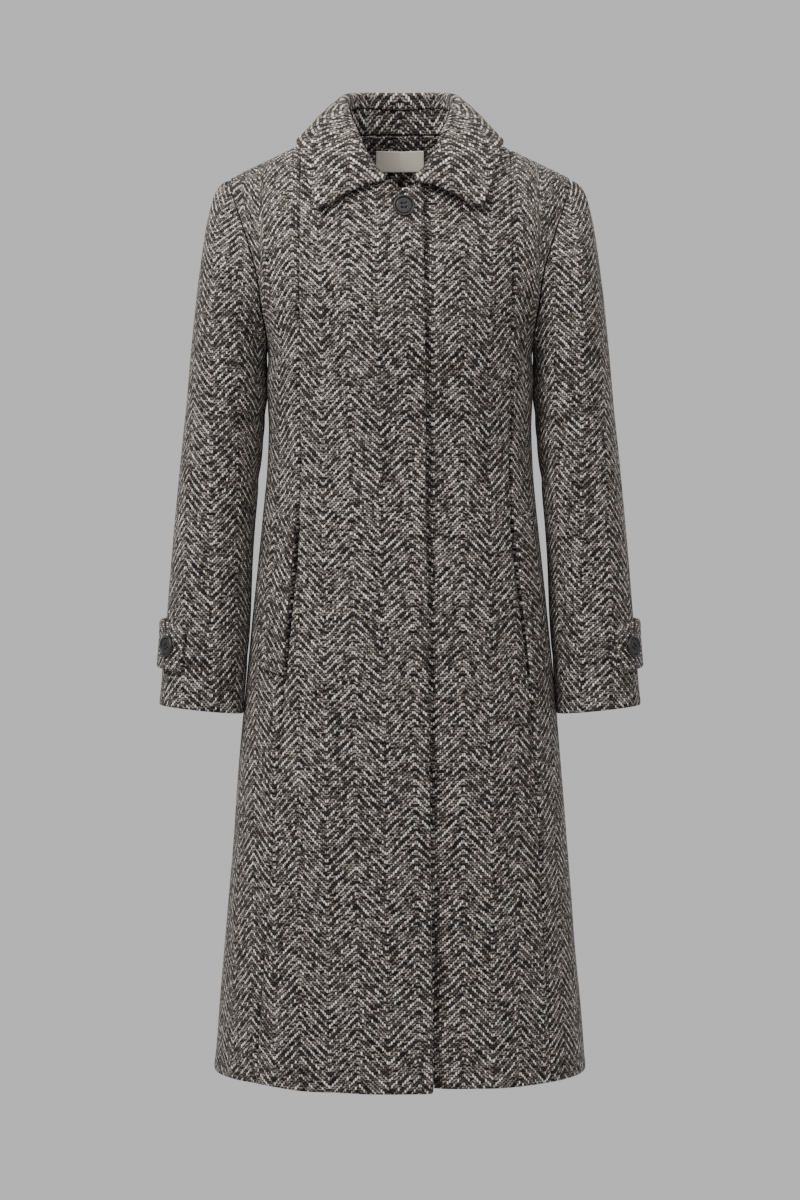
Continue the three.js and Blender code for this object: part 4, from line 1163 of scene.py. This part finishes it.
def sleeve_flat(surface, turn):
    """Places on the cloth: the way round from the front line, with columns that hang plumb while the
    sleeve leans out, and the height up the cloth from the cuff"""
    x, y, z = np.moveaxis(surface, -1, 0)
    centre, middle, half, depth = sleeve_oval(z)
    angle = np.arctan2(-(y - middle) / depth, (x - centre) / half)
    angle = turn + (angle - turn + math.pi) % math.tau - math.pi
    a = mix(math.pi / 2, angle, np.linspace(0, 1, 33)[:, None, None])
    steps = np.hypot(half * np.diff(np.cos(a), axis=0), depth * np.diff(np.sin(a), axis=0))
    around = np.sum(steps, axis=0) * np.sign(math.pi / 2 - angle)
    round_way = unit(stack(-half * np.sin(angle), -depth * np.cos(angle), 0 * z))
    step = np.diff(surface, axis=0)
    sideways = dot(step, unit(round_way[1:] + round_way[:-1]))
    rise = np.sqrt(np.maximum(dot(step, step) - sideways**2, 0))
    up = np.concatenate([np.cumsum(rise[::-1], axis=0)[::-1], 0 * rise[:1]]) + z[-1]
    return np.stack([around + centre - SLEEVE_GRAIN, up], axis=-1)


def sleeve_columns(start, end):
    """Columns between two turns round the sleeve, each a face and a place on the armhole"""
    turns = mix(start, end, shares(abs(end - start) * 60, 4.2))
    turns = (turns + math.pi) % math.tau - math.pi
    return [(FRONT if turn > 0 else BACK, 1 - abs(turn) / math.pi) for turn in turns]


SLEEVE_GRAIN = 177.5  # the line that the sleeve's weave runs along
LEFT_SLEEVE_SHIFT = 8.0
OTHER_SIDE = 37 * 4 * PICK / MM  # the other sleeve is cut this far along the cloth


def mirrored(grid):
    return grid * np.array([-1, 1, 1])


def build_sleeves():
    front_turn = math.pi * (1 - FRONT_SEAM_T)
    back_turn = -math.pi * (1 - BACK_SEAM_T)
    pieces = {
        "upper_sleeve": (front_turn, back_turn),
        "under_sleeve": (front_turn, math.tau + back_turn),
    }
    for name, (start, end) in pieces.items():
        outer, inner, uv = sleeve_half(sleeve_columns(start, end))
        cloth_piece(f"{name}_left", outer, inner, uv + np.array([LEFT_SLEEVE_SHIFT, 0]))
        cloth_piece(f"{name}_right", mirrored(outer), mirrored(inner), uv + np.array([0, OTHER_SIDE]))


# Collar
collar_at = {name: follow(COLLAR, "along", name) for name in ("foldX", "foldY", "foldZ", "edgeX", "edgeY")}


def neck_seam(q):
    """Points and outward directions along the neck seam, from the middle of the back (0) to the end (1)"""
    back_a, back_z = neckline(BACK, 90 * (1 - 2 * np.minimum(q, 0.5)))
    front_a, front_z = neckline(FRONT, COLLAR_ANGLE * np.maximum(2 * q - 1, 0))
    behind = (q <= 0.5)[..., None]
    p = np.where(behind, body_point(BACK, back_a, back_z), body_point(FRONT, front_a, front_z))
    n = np.where(behind, body_normal(BACK, back_a, back_z), body_normal(FRONT, front_a, front_z))
    return p, n


def fold_point(q):
    return stack(collar_at["foldX"](q), collar_at["foldY"](q), collar_at["foldZ"](q))


def clear_of_body(p, clear):
    """Points moved out, where they must be, until they clear the body"""
    p = p.copy()
    for _ in range(4):
        z, n = over_body(p[..., 0], p[..., 1])
        away = (p[..., 2] - z) * np.abs(n[..., 2])
        p += n * np.maximum(0, clear - away)[..., None]
    return p


LEAF_OFFSET = 4.8  # from the body to the middle of the leaf at its edge
LEAF_SPRING = 3.0  # and how much more at the roll
LEAF_BULGE = 7.0  # how far the leaf arches out between the roll and its edge
LEAF_LEAN = 0.6  # how far that leans up
LEAF_ARCH = 0.8  # power that brings it nearer to the roll
LEAF_TIP_LIFT = 2.5  # the points stand off the chest a little more
LEG_SHARES = (1, 0.75, 0.5, 0.25)
ROLL_STEPS = 12
LEAF_ROW = len(LEG_SHARES) + ROLL_STEPS  # the row where the roll ends and the leaf starts


def fall_sections(q, leaf_shares):
    """Sections through the fall for each q: a leg inside the neck, the roll and the leaf"""
    fold = fold_point(q)
    seam = neck_seam(q)[0]
    x, y = collar_at["edgeX"](q), collar_at["edgeY"](q)
    z, n = over_body(x, y)
    edge = stack(x, y, z) + n * LEAF_OFFSET
    along = fold_point(np.minimum(1, q + 0.02)) - fold_point(np.maximum(0, q - 0.02))
    along[q == 0] = (1, 0, 0)
    along = unit(along)

    def square(v):
        return unit(v - along * dot(v, along)[..., None])

    down, away = square(seam - fold), square(edge - fold)
    up = square(-(down + away))
    out = np.cross(up, along)
    leg = mix(FOLD_INSIDE_BACK, FOLD_INSIDE_FRONT, smoothstep(0, 1, q))[:, None]
    radius = mix(FOLD_RADIUS_BACK, FOLD_RADIUS_FRONT, smoothstep(0.5, 1, q))[:, None]
    rows = [fold - out * radius + down * leg * share for share in LEG_SHARES]
    for turn in np.linspace(0, math.pi, ROLL_STEPS + 1):
        rows.append(fold - out * radius * math.cos(turn) + up * radius * math.sin(turn))
    start = rows[-1]
    lean = unit(out * np.array([1, 1, 0]) + np.array([0, 0, LEAF_LEAN]))
    lifted = LEAF_TIP_LIFT * smoothstep(0.72, 1, q)
    for s in leaf_shares[1:]:
        p = mix(start, edge, s) + lean * LEAF_BULGE * math.sin(math.pi * s**LEAF_ARCH)
        rows.append(clear_of_body(p, LEAF_OFFSET + LEAF_SPRING * (1 - s) + lifted))
    return np.stack(rows, axis=1)


def both_halves(grid, axis=0):
    """A grid of the left half joined to its mirror image at its first row or column"""
    other = np.delete(np.flip(grid, axis), -1, axis)
    return np.concatenate([mirrored(other), grid], axis)


COLLAR_SCALE = 0.77  # the collar's cloth is set looser, so its yarns look thicker
GRAIN_TURN = math.radians(64)  # from straight at the middle of the back to plumb over the chest
INNER_ROW, HINGE_ROW = LEAF_ROW + 2, LEAF_ROW + 14
CHEST_Q, COLLAR_TURN_X = 0.85, 55.0  # where a column of the weave turns, as in the photo
FALL_EXTRA, FALL_PLUMP = 0.8, 0.7  # the fall is interlined, and its edges are plump
POINT_RADII = {"bottom": 3.0, "top": 9.0}  # one point is rounder than the other
FALL_HALF, LEAF_WIDTH = 130, 60  # about, to space the sections and rows at the edges


def unrolled(grid, q):
    """Places on the cloth of half the fall. Its sections are laid side by side, and turn by what its two
    edges differ in length and by enough more to bring the grain round to plumb at its front end."""
    across = lengths(grid, 1)
    across = across - across[:, HINGE_ROW, None]
    step = np.linalg.norm(np.diff(grid, axis=0), axis=-1)
    width = across[1:, -1] - across[1:, INNER_ROW]
    natural = -np.cumsum((step[:, -1] - step[:, INNER_ROW]) / width)
    natural = np.concatenate([[0], natural])
    share = smoothstep(0.05, 0.9, q)
    turn = natural + (GRAIN_TURN - natural[-1]) * share
    middle_turn = (turn[1:] + turn[:-1]) / 2
    way = np.stack([-np.cos(middle_turn), -np.sin(middle_turn)], -1) * step[:, HINGE_ROW, None]
    start = np.concatenate([[[0, 0]], np.cumsum(way, axis=0)])
    section = np.stack([np.sin(turn), -np.cos(turn)], -1)
    return start[:, None] + across[..., None] * section[:, None]


def build_fall():
    q = shares_to_end(FALL_HALF, 60)
    half = fall_sections(q, shares_to_end(LEAF_WIDTH, 26))
    middle = both_halves(half)
    n = grid_normals(middle)
    for end, radius in POINT_RADII.items():
        middle = round_corner(middle, ("last", end), radius)
    thickness = DOUBLE_CLOTH + FALL_EXTRA
    # The outer side of the leaf and of the roll is the side that shows
    surface = middle + n * thickness / 2
    outer, inner = layers(surface, n, n, thickness, (), ("last", "bottom", "top"), plump=FALL_PLUMP)
    flat = unrolled(half, q)
    chest = np.argmin(np.abs(q - CHEST_Q))
    turn_at = np.argmin(np.abs(half[chest, LEAF_ROW:, 0] - COLLAR_TURN_X)) + LEAF_ROW
    flat[..., 0] -= flat[chest, turn_at, 0]
    flat = np.concatenate([flat[:0:-1], flat]) * COLLAR_SCALE
    cloth_piece("collar_fall", outer, inner, flat, held="folded")


STAND_FOOT_GAP, STAND_HEAD_GAP = 0.4, 0.3  # left free at the neck seam and under the fall's leg


def build_stand():
    """The stand, from the neck seam to the end of the fall's leg. The side in the neck shows."""
    q = np.linspace(0, STAND_END, 50)
    seam, seam_n = neck_seam(q)
    top = fall_sections(q, (0,))[:, 0]
    direction = unit(top - seam)
    foot = seam + unit(seam_n * np.array([-1, -1, 0])) * CLOTH / 2 + direction * STAND_FOOT_GAP
    head = top - direction * STAND_HEAD_GAP
    middle = both_halves(mix(foot[:, None, :], head[:, None, :], shares(30, 3.0)[None, :, None]))
    n = grid_normals(middle)
    outer, inner = layers(middle + n * CLOTH / 2, n, n, CLOTH, ("first", "last"), ())
    along = lengths(middle, 0)[:, 4]
    u = (along - along[len(along) // 2])[:, None] + 0 * middle[..., 0]
    cloth_piece("collar_stand", outer, inner, np.stack([u, lengths(middle, 1)], -1) * COLLAR_SCALE)


# Threads and stitches
def applied(obj):
    """The mesh of an object with its modifiers, and the object gone"""
    graph = bpy.context.evaluated_depsgraph_get()
    mesh = bpy.data.meshes.new_from_object(obj.evaluated_get(graph))
    bpy.data.objects.remove(obj)
    return mesh


def grow_tree(name, values):
    """An empty Geometry Nodes tree with a line of points and named values going in"""
    tree = bpy.data.node_groups.new(name, "GeometryNodeTree")
    tree.interface.new_socket("Geometry", in_out="INPUT", socket_type="NodeSocketGeometry")
    for value in values:
        tree.interface.new_socket(value, in_out="INPUT", socket_type="NodeSocketFloat")
    tree.interface.new_socket("Material", in_out="INPUT", socket_type="NodeSocketMaterial")
    tree.interface.new_socket("Geometry", in_out="OUTPUT", socket_type="NodeSocketGeometry")
    return tree, tree.nodes.new("NodeGroupInput").outputs


def close_tree(tree, geometry, material):
    """The end of a tree: what it grew is made real, smooth and of the material"""
    real = add_node(tree, "GeometryNodeRealizeInstances", {0: geometry})
    smooth = add_node(tree, "GeometryNodeSetShadeSmooth", {"Geometry": real.outputs[0]})
    links = {"Geometry": smooth.outputs[0], "Material": material}
    coloured = add_node(tree, "GeometryNodeSetMaterial", links)
    tree.links.new(coloured.outputs[0], tree.nodes.new("NodeGroupOutput").inputs[0])
    return tree


def round_thread(tree, curve, radius):
    """A closed tube along a curve"""
    ring = add_node(tree, "GeometryNodeCurvePrimitiveCircle", {"Resolution": 8, "Radius": radius})
    links = {"Curve": curve, "Profile Curve": ring.outputs["Curve"], "Fill Caps": True}
    return add_node(tree, "GeometryNodeCurveToMesh", links).outputs[0]


def thread_tree():
    """A round thread along each line"""
    tree, given = grow_tree("thread_along", ("Radius",))
    curve = add_node(tree, "GeometryNodeMeshToCurve", {0: given["Geometry"]}).outputs[0]
    spline = add_node(tree, "GeometryNodeCurveSplineType", {"Curve": curve}, spline_type="CATMULL_ROM")
    return close_tree(tree, round_thread(tree, spline.outputs[0], given["Radius"]), given["Material"])


def stitch_tree():
    """A row of short stitches along each line"""
    tree, given = grow_tree("stitches_along", ("Pitch", "Length", "Radius"))
    curve = add_node(tree, "GeometryNodeMeshToCurve", {0: given["Geometry"]}).outputs[0]
    links = {"Curve": curve, "Length": given["Pitch"]}
    spaced = add_node(tree, "GeometryNodeResampleCurve", links, mode="LENGTH")
    m = math_of(tree)
    halves = [m("MULTIPLY", given["Length"], share) for share in (-0.5, 0.5)]
    ends = [add_node(tree, "ShaderNodeCombineXYZ", {0: x}).outputs[0] for x in halves]
    line = add_node(tree, "GeometryNodeCurvePrimitiveLine", {"Start": ends[0], "End": ends[1]})
    stitch = round_thread(tree, line.outputs[0], given["Radius"])
    tangent = add_node(tree, "GeometryNodeInputTangent").outputs[0]
    turn = add_node(tree, "FunctionNodeAlignRotationToVector", {"Vector": tangent}, axis="X")
    links = {"Points": spaced.outputs[0], "Instance": stitch, "Rotation": turn.outputs[0]}
    row = add_node(tree, "GeometryNodeInstanceOnPoints", links)
    return close_tree(tree, row.outputs[0], given["Material"])


THREAD_ALONG = thread_tree()
STITCHES_ALONG = stitch_tree()


def grown(name, tree, lines, **values):
    """The mesh that a tree makes along lines of points in millimetres, with the values of its inputs"""
    mesh = bpy.data.meshes.new(name)
    points, edges = [], []
    for line in lines:
        edges += [(len(points) + i, len(points) + i + 1) for i in range(len(line) - 1)]
        points += [tuple(float(c) * MM for c in p) for p in line]
    mesh.from_pydata(points, edges, [])
    obj = bpy.data.objects.new(name, mesh)
    COLLECTION.objects.link(obj)
    modifier = obj.modifiers.new(tree.name, "NODES")
    modifier.node_group = tree
    sockets = {i.name: i.identifier for i in tree.interface.items_tree if i.in_out == "INPUT"}
    for key, value in values.items():
        modifier[sockets[key]] = value
    return applied(obj)


# Facing and label
FACING_SHARE = 7 / 11  # how far the facing reaches across a back's top
FACING_UP = (1.5, 1.995)  # and from where to where up the panel
FACING_THICK = 2.0
FACING_GAP = 0.5  # between the back and its facing
FACING_SHIFT = 12.0


def build_facing():
    across = np.linspace(0, FACING_SHARE, 36)[None, :]
    up = np.linspace(*FACING_UP, 40)[:, None]
    angle, z = np.broadcast_arrays(*panel_place(back_panel(LEFT), across, up))
    p = body_point(BACK, angle, z)
    n = body_normal(BACK, angle, z)
    x = p[..., 0]
    away = edge_distances(p)
    n = blend_to(n, flat_x(n), away["first"])
    near_shoulder = smoothstep(BACK_NECK_SHARE - 0.02, BACK_NECK_SHARE + 0.02, across)
    n = unit(mix(n, blend_to(n, flat_y(n), away["top"]), near_shoulder[..., None]))
    surface, n = both_halves(p - n * (CLOTH + FACING_GAP), axis=1), both_halves(n, axis=1)
    u, v = section_arc(BACK, 0 * z, x, z), rise_arc(BACK, x, z)
    u, v = np.concatenate([-u[:, :0:-1], u], 1) + FACING_SHIFT, np.concatenate([v[:, :0:-1], v], 1)
    # The side that shows looks into the coat
    outer, inner = layers(surface - n * FACING_THICK, -n, -n, FACING_THICK, (), ("bottom",))
    cloth_piece("back_facing", outer, inner, np.stack([u, v], -1) * COLLAR_SCALE, held="laid")


def inside_back(x, z, depth):
    """A point inside the back, at a depth from its outer surface"""
    angle = angle_at(BACK, x, z)
    return body_point(BACK, angle, z) - body_normal(BACK, angle, z) * np.asarray(depth)[..., None]


LABEL_WIDTH, LABEL_HEIGHT, LABEL_TOP_Z = 59.0, 23.5, -3.0
LABEL_THICK = 0.8
LABEL_CORNER = 1.2
LABEL_DEPTH = CLOTH + FACING_GAP + FACING_THICK + 0.5  # from the back's outer surface to the label
STITCH_INSET = 1.3
STITCH_PITCH, STITCH_LENGTH, STITCH_RADIUS = 2.4, 1.5, 0.16


def build_label():
    x = (shares(LABEL_WIDTH, 2.0) - 0.5)[None, :] * LABEL_WIDTH
    z = (LABEL_TOP_Z - LABEL_HEIGHT + shares(LABEL_HEIGHT, 2.0) * LABEL_HEIGHT)[:, None]
    x, z = np.broadcast_arrays(x, z)
    surface = inside_back(x, z, LABEL_DEPTH + LABEL_THICK + 0 * x)
    n = -body_normal(BACK, angle_at(BACK, x, z), z)
    for edges in LAST_CORNERS + FIRST_CORNERS:
        surface = round_corner(surface, edges, LABEL_CORNER)
    outer, inner = layers(surface, n, n, LABEL_THICK, (), ALL_EDGES)
    places = np.stack([x, z], -1)
    cloth_piece("neck_label", outer, inner, places, material=SATIN, slot="label_satin", held="laid")
    # Small stitches all round hold the label down
    half, high = LABEL_WIDTH / 2 - STITCH_INSET, LABEL_TOP_Z - STITCH_INSET
    low = LABEL_TOP_Z - LABEL_HEIGHT + STITCH_INSET
    corners = np.array([(-half, high), (half, high), (half, low), (-half, low), (-half, high)])
    share = np.linspace(0, 1, 16)[:, None]
    line = np.concatenate([mix(a, b, share) for a, b in zip(corners, corners[1:])])
    points = inside_back(line[:, 0], line[:, 1], LABEL_DEPTH + LABEL_THICK + 0 * line[:, 0])
    sizes = dict(Pitch=STITCH_PITCH * MM, Length=STITCH_LENGTH * MM, Radius=STITCH_RADIUS * MM)
    sewn = grown("neck_label_stitches", STITCHES_ALONG, [points], **sizes, Material=LABEL_THREAD)
    add_trim("neck_label_stitches", sewn)


# Welts and tabs
# Where each welt starts, at the princess seam, and ends, at its top and at its foot
WELT = {
    RIGHT: dict(top=(113.4, 138), bottom=(127.6, 157.5)),
    LEFT: dict(top=(124.9, 143.5), bottom=(143.1, 166)),
}
WELT_TOP_Z = (-441, -431)
WELT_BOTTOM_Z = (-614, -603)
WELT_SHIFT = {RIGHT: 2.0, LEFT: 34.0}
WELT_LENGTH, WELT_WIDTH = 175, 24
WELT_CORNER, WELT_SEAM_CORNER = 5.0, 2.0
WELT_PLUMP = 0.3


def build_welt(side, label):
    down = shares(WELT_LENGTH, 4.0)[:, None]
    across = shares(WELT_WIDTH, 2.4)[None, :]
    top, bottom = WELT[side]["top"], WELT[side]["bottom"]
    z0, z1 = (mix(high, low, down) for high, low in zip(WELT_TOP_Z, WELT_BOTTOM_Z))
    z = mix(z0, z1, across)
    start, end = (angle_at(FRONT, mix(x0, x1, down), z) for x0, x1 in zip(top, bottom))
    angle = side * mix(start, end, across)
    p = body_point(FRONT, angle, z)
    n = body_normal(FRONT, angle, z)
    surface = p + n * (LAY_GAP + DOUBLE_CLOTH + crease_height(FRONT, p[..., 0], z))[..., None]
    for corners, radius in ((LAST_CORNERS, WELT_CORNER), (FIRST_CORNERS, WELT_SEAM_CORNER)):
        for edges in corners:
            surface = round_corner(surface, edges, radius)
    outer, inner = layers(surface, n, n, DOUBLE_CLOTH, (), ALL_EDGES, plump=WELT_PLUMP)
    # Cut along the pocket's own slant, so its weave doesn't run on from the front
    uv = np.stack([lengths(surface, 1) + WELT_SHIFT[side], lengths(surface, 0)], -1)
    cloth_piece(f"pocket_welt_{label}", outer, inner, uv, held="laid")


TAB_FROM, TAB_TO = -112.0, 66.0  # degrees round the cuff, from behind to the buttoned end in front
TAB_LENGTH = 150
TAB_MIDDLE_Z, TAB_HALF = -583.0, 26.5
TAB_DROP = 5.0  # the tab hangs lower in front
TAB_CLEAR = 2.2  # gap between the sleeve and the tab
TAB_THICK = 4.8
TAB_CORNER = 10.0
TAB_PLUMP = 0.9


def out_of_sleeve(z, turn, height):
    """Points at a height over the sleeve, and the directions out of it"""
    p = sleeve_ring(z, turn)
    across = sleeve_ring(z, turn + 0.01) - sleeve_ring(z, turn - 0.01)
    down = sleeve_ring(z - 1, turn) - sleeve_ring(z + 1, turn)
    n = out_of_oval(unit(np.cross(across, down)), p)
    return p + n * np.asarray(height)[..., None], n


def tab_middle(turn):
    return TAB_MIDDLE_Z + CUFF_TILT * np.cos(turn) - TAB_DROP * np.sin(turn)


def build_tab():
    turn = np.radians(mix(TAB_FROM, TAB_TO, shares(TAB_LENGTH, 3.0)))[None, :]
    z = tab_middle(turn) + TAB_HALF * (2 * shares(2 * TAB_HALF, 3.0)[:, None] - 1)
    surface, n = out_of_sleeve(z, turn + 0 * z, TAB_CLEAR + TAB_THICK + 0 * z)
    for edges in LAST_CORNERS:
        surface = round_corner(surface, edges, TAB_CORNER)
    outer, inner = layers(surface, n, n, TAB_THICK, (), ALL_EDGES, plump=TAB_PLUMP)
    across = lengths(surface, 1)
    uv = np.stack([z, across[len(across) // 2][None, :] + 0 * z], -1)
    for label, side in SIDES.items():
        flip = np.array([side, 1, 1])
        cloth_piece(f"cuff_tab_{label}", outer * flip, inner * flip, uv, held="laid")


# Buttons
# From the middle of the back to the middle of the face: radius and height
BUTTON_PROFILE = (
    (0, 0), (9.6, 0), (11.0, 0.35), (11.8, 1.1), (12.0, 2.0), (11.9, 2.8), (11.5, 3.4), (10.9, 3.7),
    (10.3, 3.7), (9.8, 3.4), (9.5, 2.8), (9.3, 2.3), (9.0, 2.1), (8.7, 2.35), (8.2, 2.75), (7.4, 2.8),
    (5.0, 2.6), (0, 2.5),
)
BUTTON_SIDES = 72
HOLE_SPREAD = 2.3
HOLE_RADIUS = 1.2
HOLE_MOUTH = HOLE_RADIUS * 1.5
DRILL_PROFILE = (
    (0, -3), (HOLE_RADIUS, -3), (HOLE_RADIUS, 2.2), (HOLE_MOUTH, 2.6), (HOLE_MOUTH, 6), (0, 6),
)
DRILL_SIDES = 20
SHARP_FROM = math.radians(38)
# A thread over the face: places from hole to hole, how far it spreads there, and its height
THREAD_PATH = (
    (-1, 0.7, 0.3), (-1, 1, 1.9), (-0.5, 1, 2.62), (0, 1.1, 2.68),
    (0.5, 1, 2.62), (1, 1, 1.9), (1, 0.7, 0.3),
)
THREAD_APART = 0.32
THREAD_RADIUS = 0.26


def lathe(profile, sides):
    """Points and faces of a turned shape, from a profile of radii and heights"""
    points, rings, faces = [], [], []
    for r, z in profile:
        count = 1 if r == 0 else sides
        rings.append([len(points) + k % count for k in range(sides + 1)])
        turns = [k * math.tau / sides for k in range(count)]
        points += [(r * math.cos(turn), r * math.sin(turn), z) for turn in turns]
    for low, high in zip(rings, rings[1:]):
        for k in range(sides):
            corners = (low[k], low[k + 1], high[k + 1], high[k])
            faces.append(list(dict.fromkeys(corners)))
    return points, faces


def mesh_object(name, points, faces):
    mesh = bpy.data.meshes.new(name)
    mesh.from_pydata([tuple(c * MM for c in p) for p in points], [], faces)
    obj = bpy.data.objects.new(name, mesh)
    COLLECTION.objects.link(obj)
    return obj


def button_mesh():
    """A turned button with four holes drilled through it"""
    body = mesh_object("button_body", *lathe(BUTTON_PROFILE, BUTTON_SIDES))
    drill_points, drill_faces = [], []
    for x in (-HOLE_SPREAD, HOLE_SPREAD):
        for y in (-HOLE_SPREAD, HOLE_SPREAD):
            points, faces = lathe(DRILL_PROFILE, DRILL_SIDES)
            drill_faces += [[i + len(drill_points) for i in f] for f in faces]
            drill_points += [(p[0] + x, p[1] + y, p[2]) for p in points]
    drill = mesh_object("button_drill", drill_points, drill_faces)
    cut = body.modifiers.new("holes", "BOOLEAN")
    cut.operation, cut.solver, cut.object = "DIFFERENCE", "EXACT", drill
    mesh = applied(body)
    bpy.data.objects.remove(drill)
    mesh.polygons.foreach_set("use_smooth", np.ones(len(mesh.polygons), bool))
    mesh.set_sharp_from_angle(angle=SHARP_FROM)
    return mesh


def placed(mesh, point, normal, spin=0.0):
    """A copy of a mesh with its middle at a point and its own up direction along the normal"""
    mesh = mesh.copy()
    turn = Vector((0, 0, 1)).rotation_difference(Vector(normal)).to_matrix().to_4x4()
    move = Matrix.Translation(Vector(point) * MM)
    mesh.transform(move @ turn @ Matrix.Rotation(spin, 4, "Z"))
    return mesh


NECK_BUTTON_X, NECK_BUTTON_Z = 4.0, -99.0
NECK_BUTTON_STAND = 1.4  # it stands on its thread
CUFF_BUTTON_TURN = math.radians(42)
CUFF_BUTTON_SINK = 0.1
BUTTON_SPINS = (0.12, -0.3, 0.25)


def build_buttons():
    button = button_mesh()
    lines = [
        [(HOLE_SPREAD * x, y + off * spread, z) for x, spread, z in THREAD_PATH]
        for y in (-HOLE_SPREAD, HOLE_SPREAD)
        for off in (-THREAD_APART, THREAD_APART)
    ]
    thread = grown("button_thread", THREAD_ALONG, lines, Radius=THREAD_RADIUS * MM, Material=THREAD)
    z = np.array(NECK_BUTTON_Z)
    angle = angle_at(FRONT, np.array(NECK_BUTTON_X), z)
    n = body_normal(FRONT, angle, z)
    point = body_point(FRONT, angle, z) + n * (OVER_LIFT + LAY_GAP + NECK_BUTTON_STAND)
    # Turned a little more to the front than the cloth under it
    spots = {"neck_button": (point, unit(n + np.array([0, -0.2, -0.22])))}
    turn = np.array(CUFF_BUTTON_TURN)
    p, n = out_of_sleeve(tab_middle(turn), turn, TAB_CLEAR + TAB_THICK - CUFF_BUTTON_SINK)
    for label, side in SIDES.items():
        flip = np.array([side, 1, 1])
        spots[f"cuff_button_{label}"] = (p * flip, n * flip)
    for spin, (name, (point, normal)) in zip(BUTTON_SPINS, spots.items()):
        add_piece(name + "_resin", placed(button, point, normal, spin), RESIN, name)
        add_trim(name + "_thread", placed(thread, point, normal, spin))
    bpy.data.meshes.remove(button)
    bpy.data.meshes.remove(thread)


# Build
fronts = {
    "front_right": front_panel(RIGHT, over_extension, over_grain, lift_to(OVER_LIFT), FRONT_DROP, FLY),
    "front_left": front_panel(LEFT, under_extension, under_extension, lift_to(UNDER_LIFT, TROUGH)),
    "side_front_right": side_front_panel(RIGHT, over_grain),
    "side_front_left": side_front_panel(LEFT, under_extension),
}
for name, panel in fronts.items():
    cloth_piece(name, *body_panel(panel))
for label, side in SIDES.items():
    cloth_piece(f"back_{label}", *body_panel(back_panel(side)))
    build_welt(side, label)
build_sleeves()
build_fall()
build_stand()
build_facing()
build_label()
build_tab()
build_buttons()

# Floor
FLOOR_HALF = 3.0  # metres
FLOOR_Z = (HEM_Z - 1000) * MM
corners = [(x * FLOOR_HALF, y * FLOOR_HALF, FLOOR_Z) for x, y in ((-1, -1), (1, -1), (1, 1), (-1, 1))]
floor_mesh = bpy.data.meshes.new("floor")
floor_mesh.from_pydata(corners, [], [(0, 1, 2, 3)])
floor_mesh.materials.append(PAPER)
floor = bpy.data.objects.new("floor", floor_mesh)
bpy.context.collection.objects.link(floor)
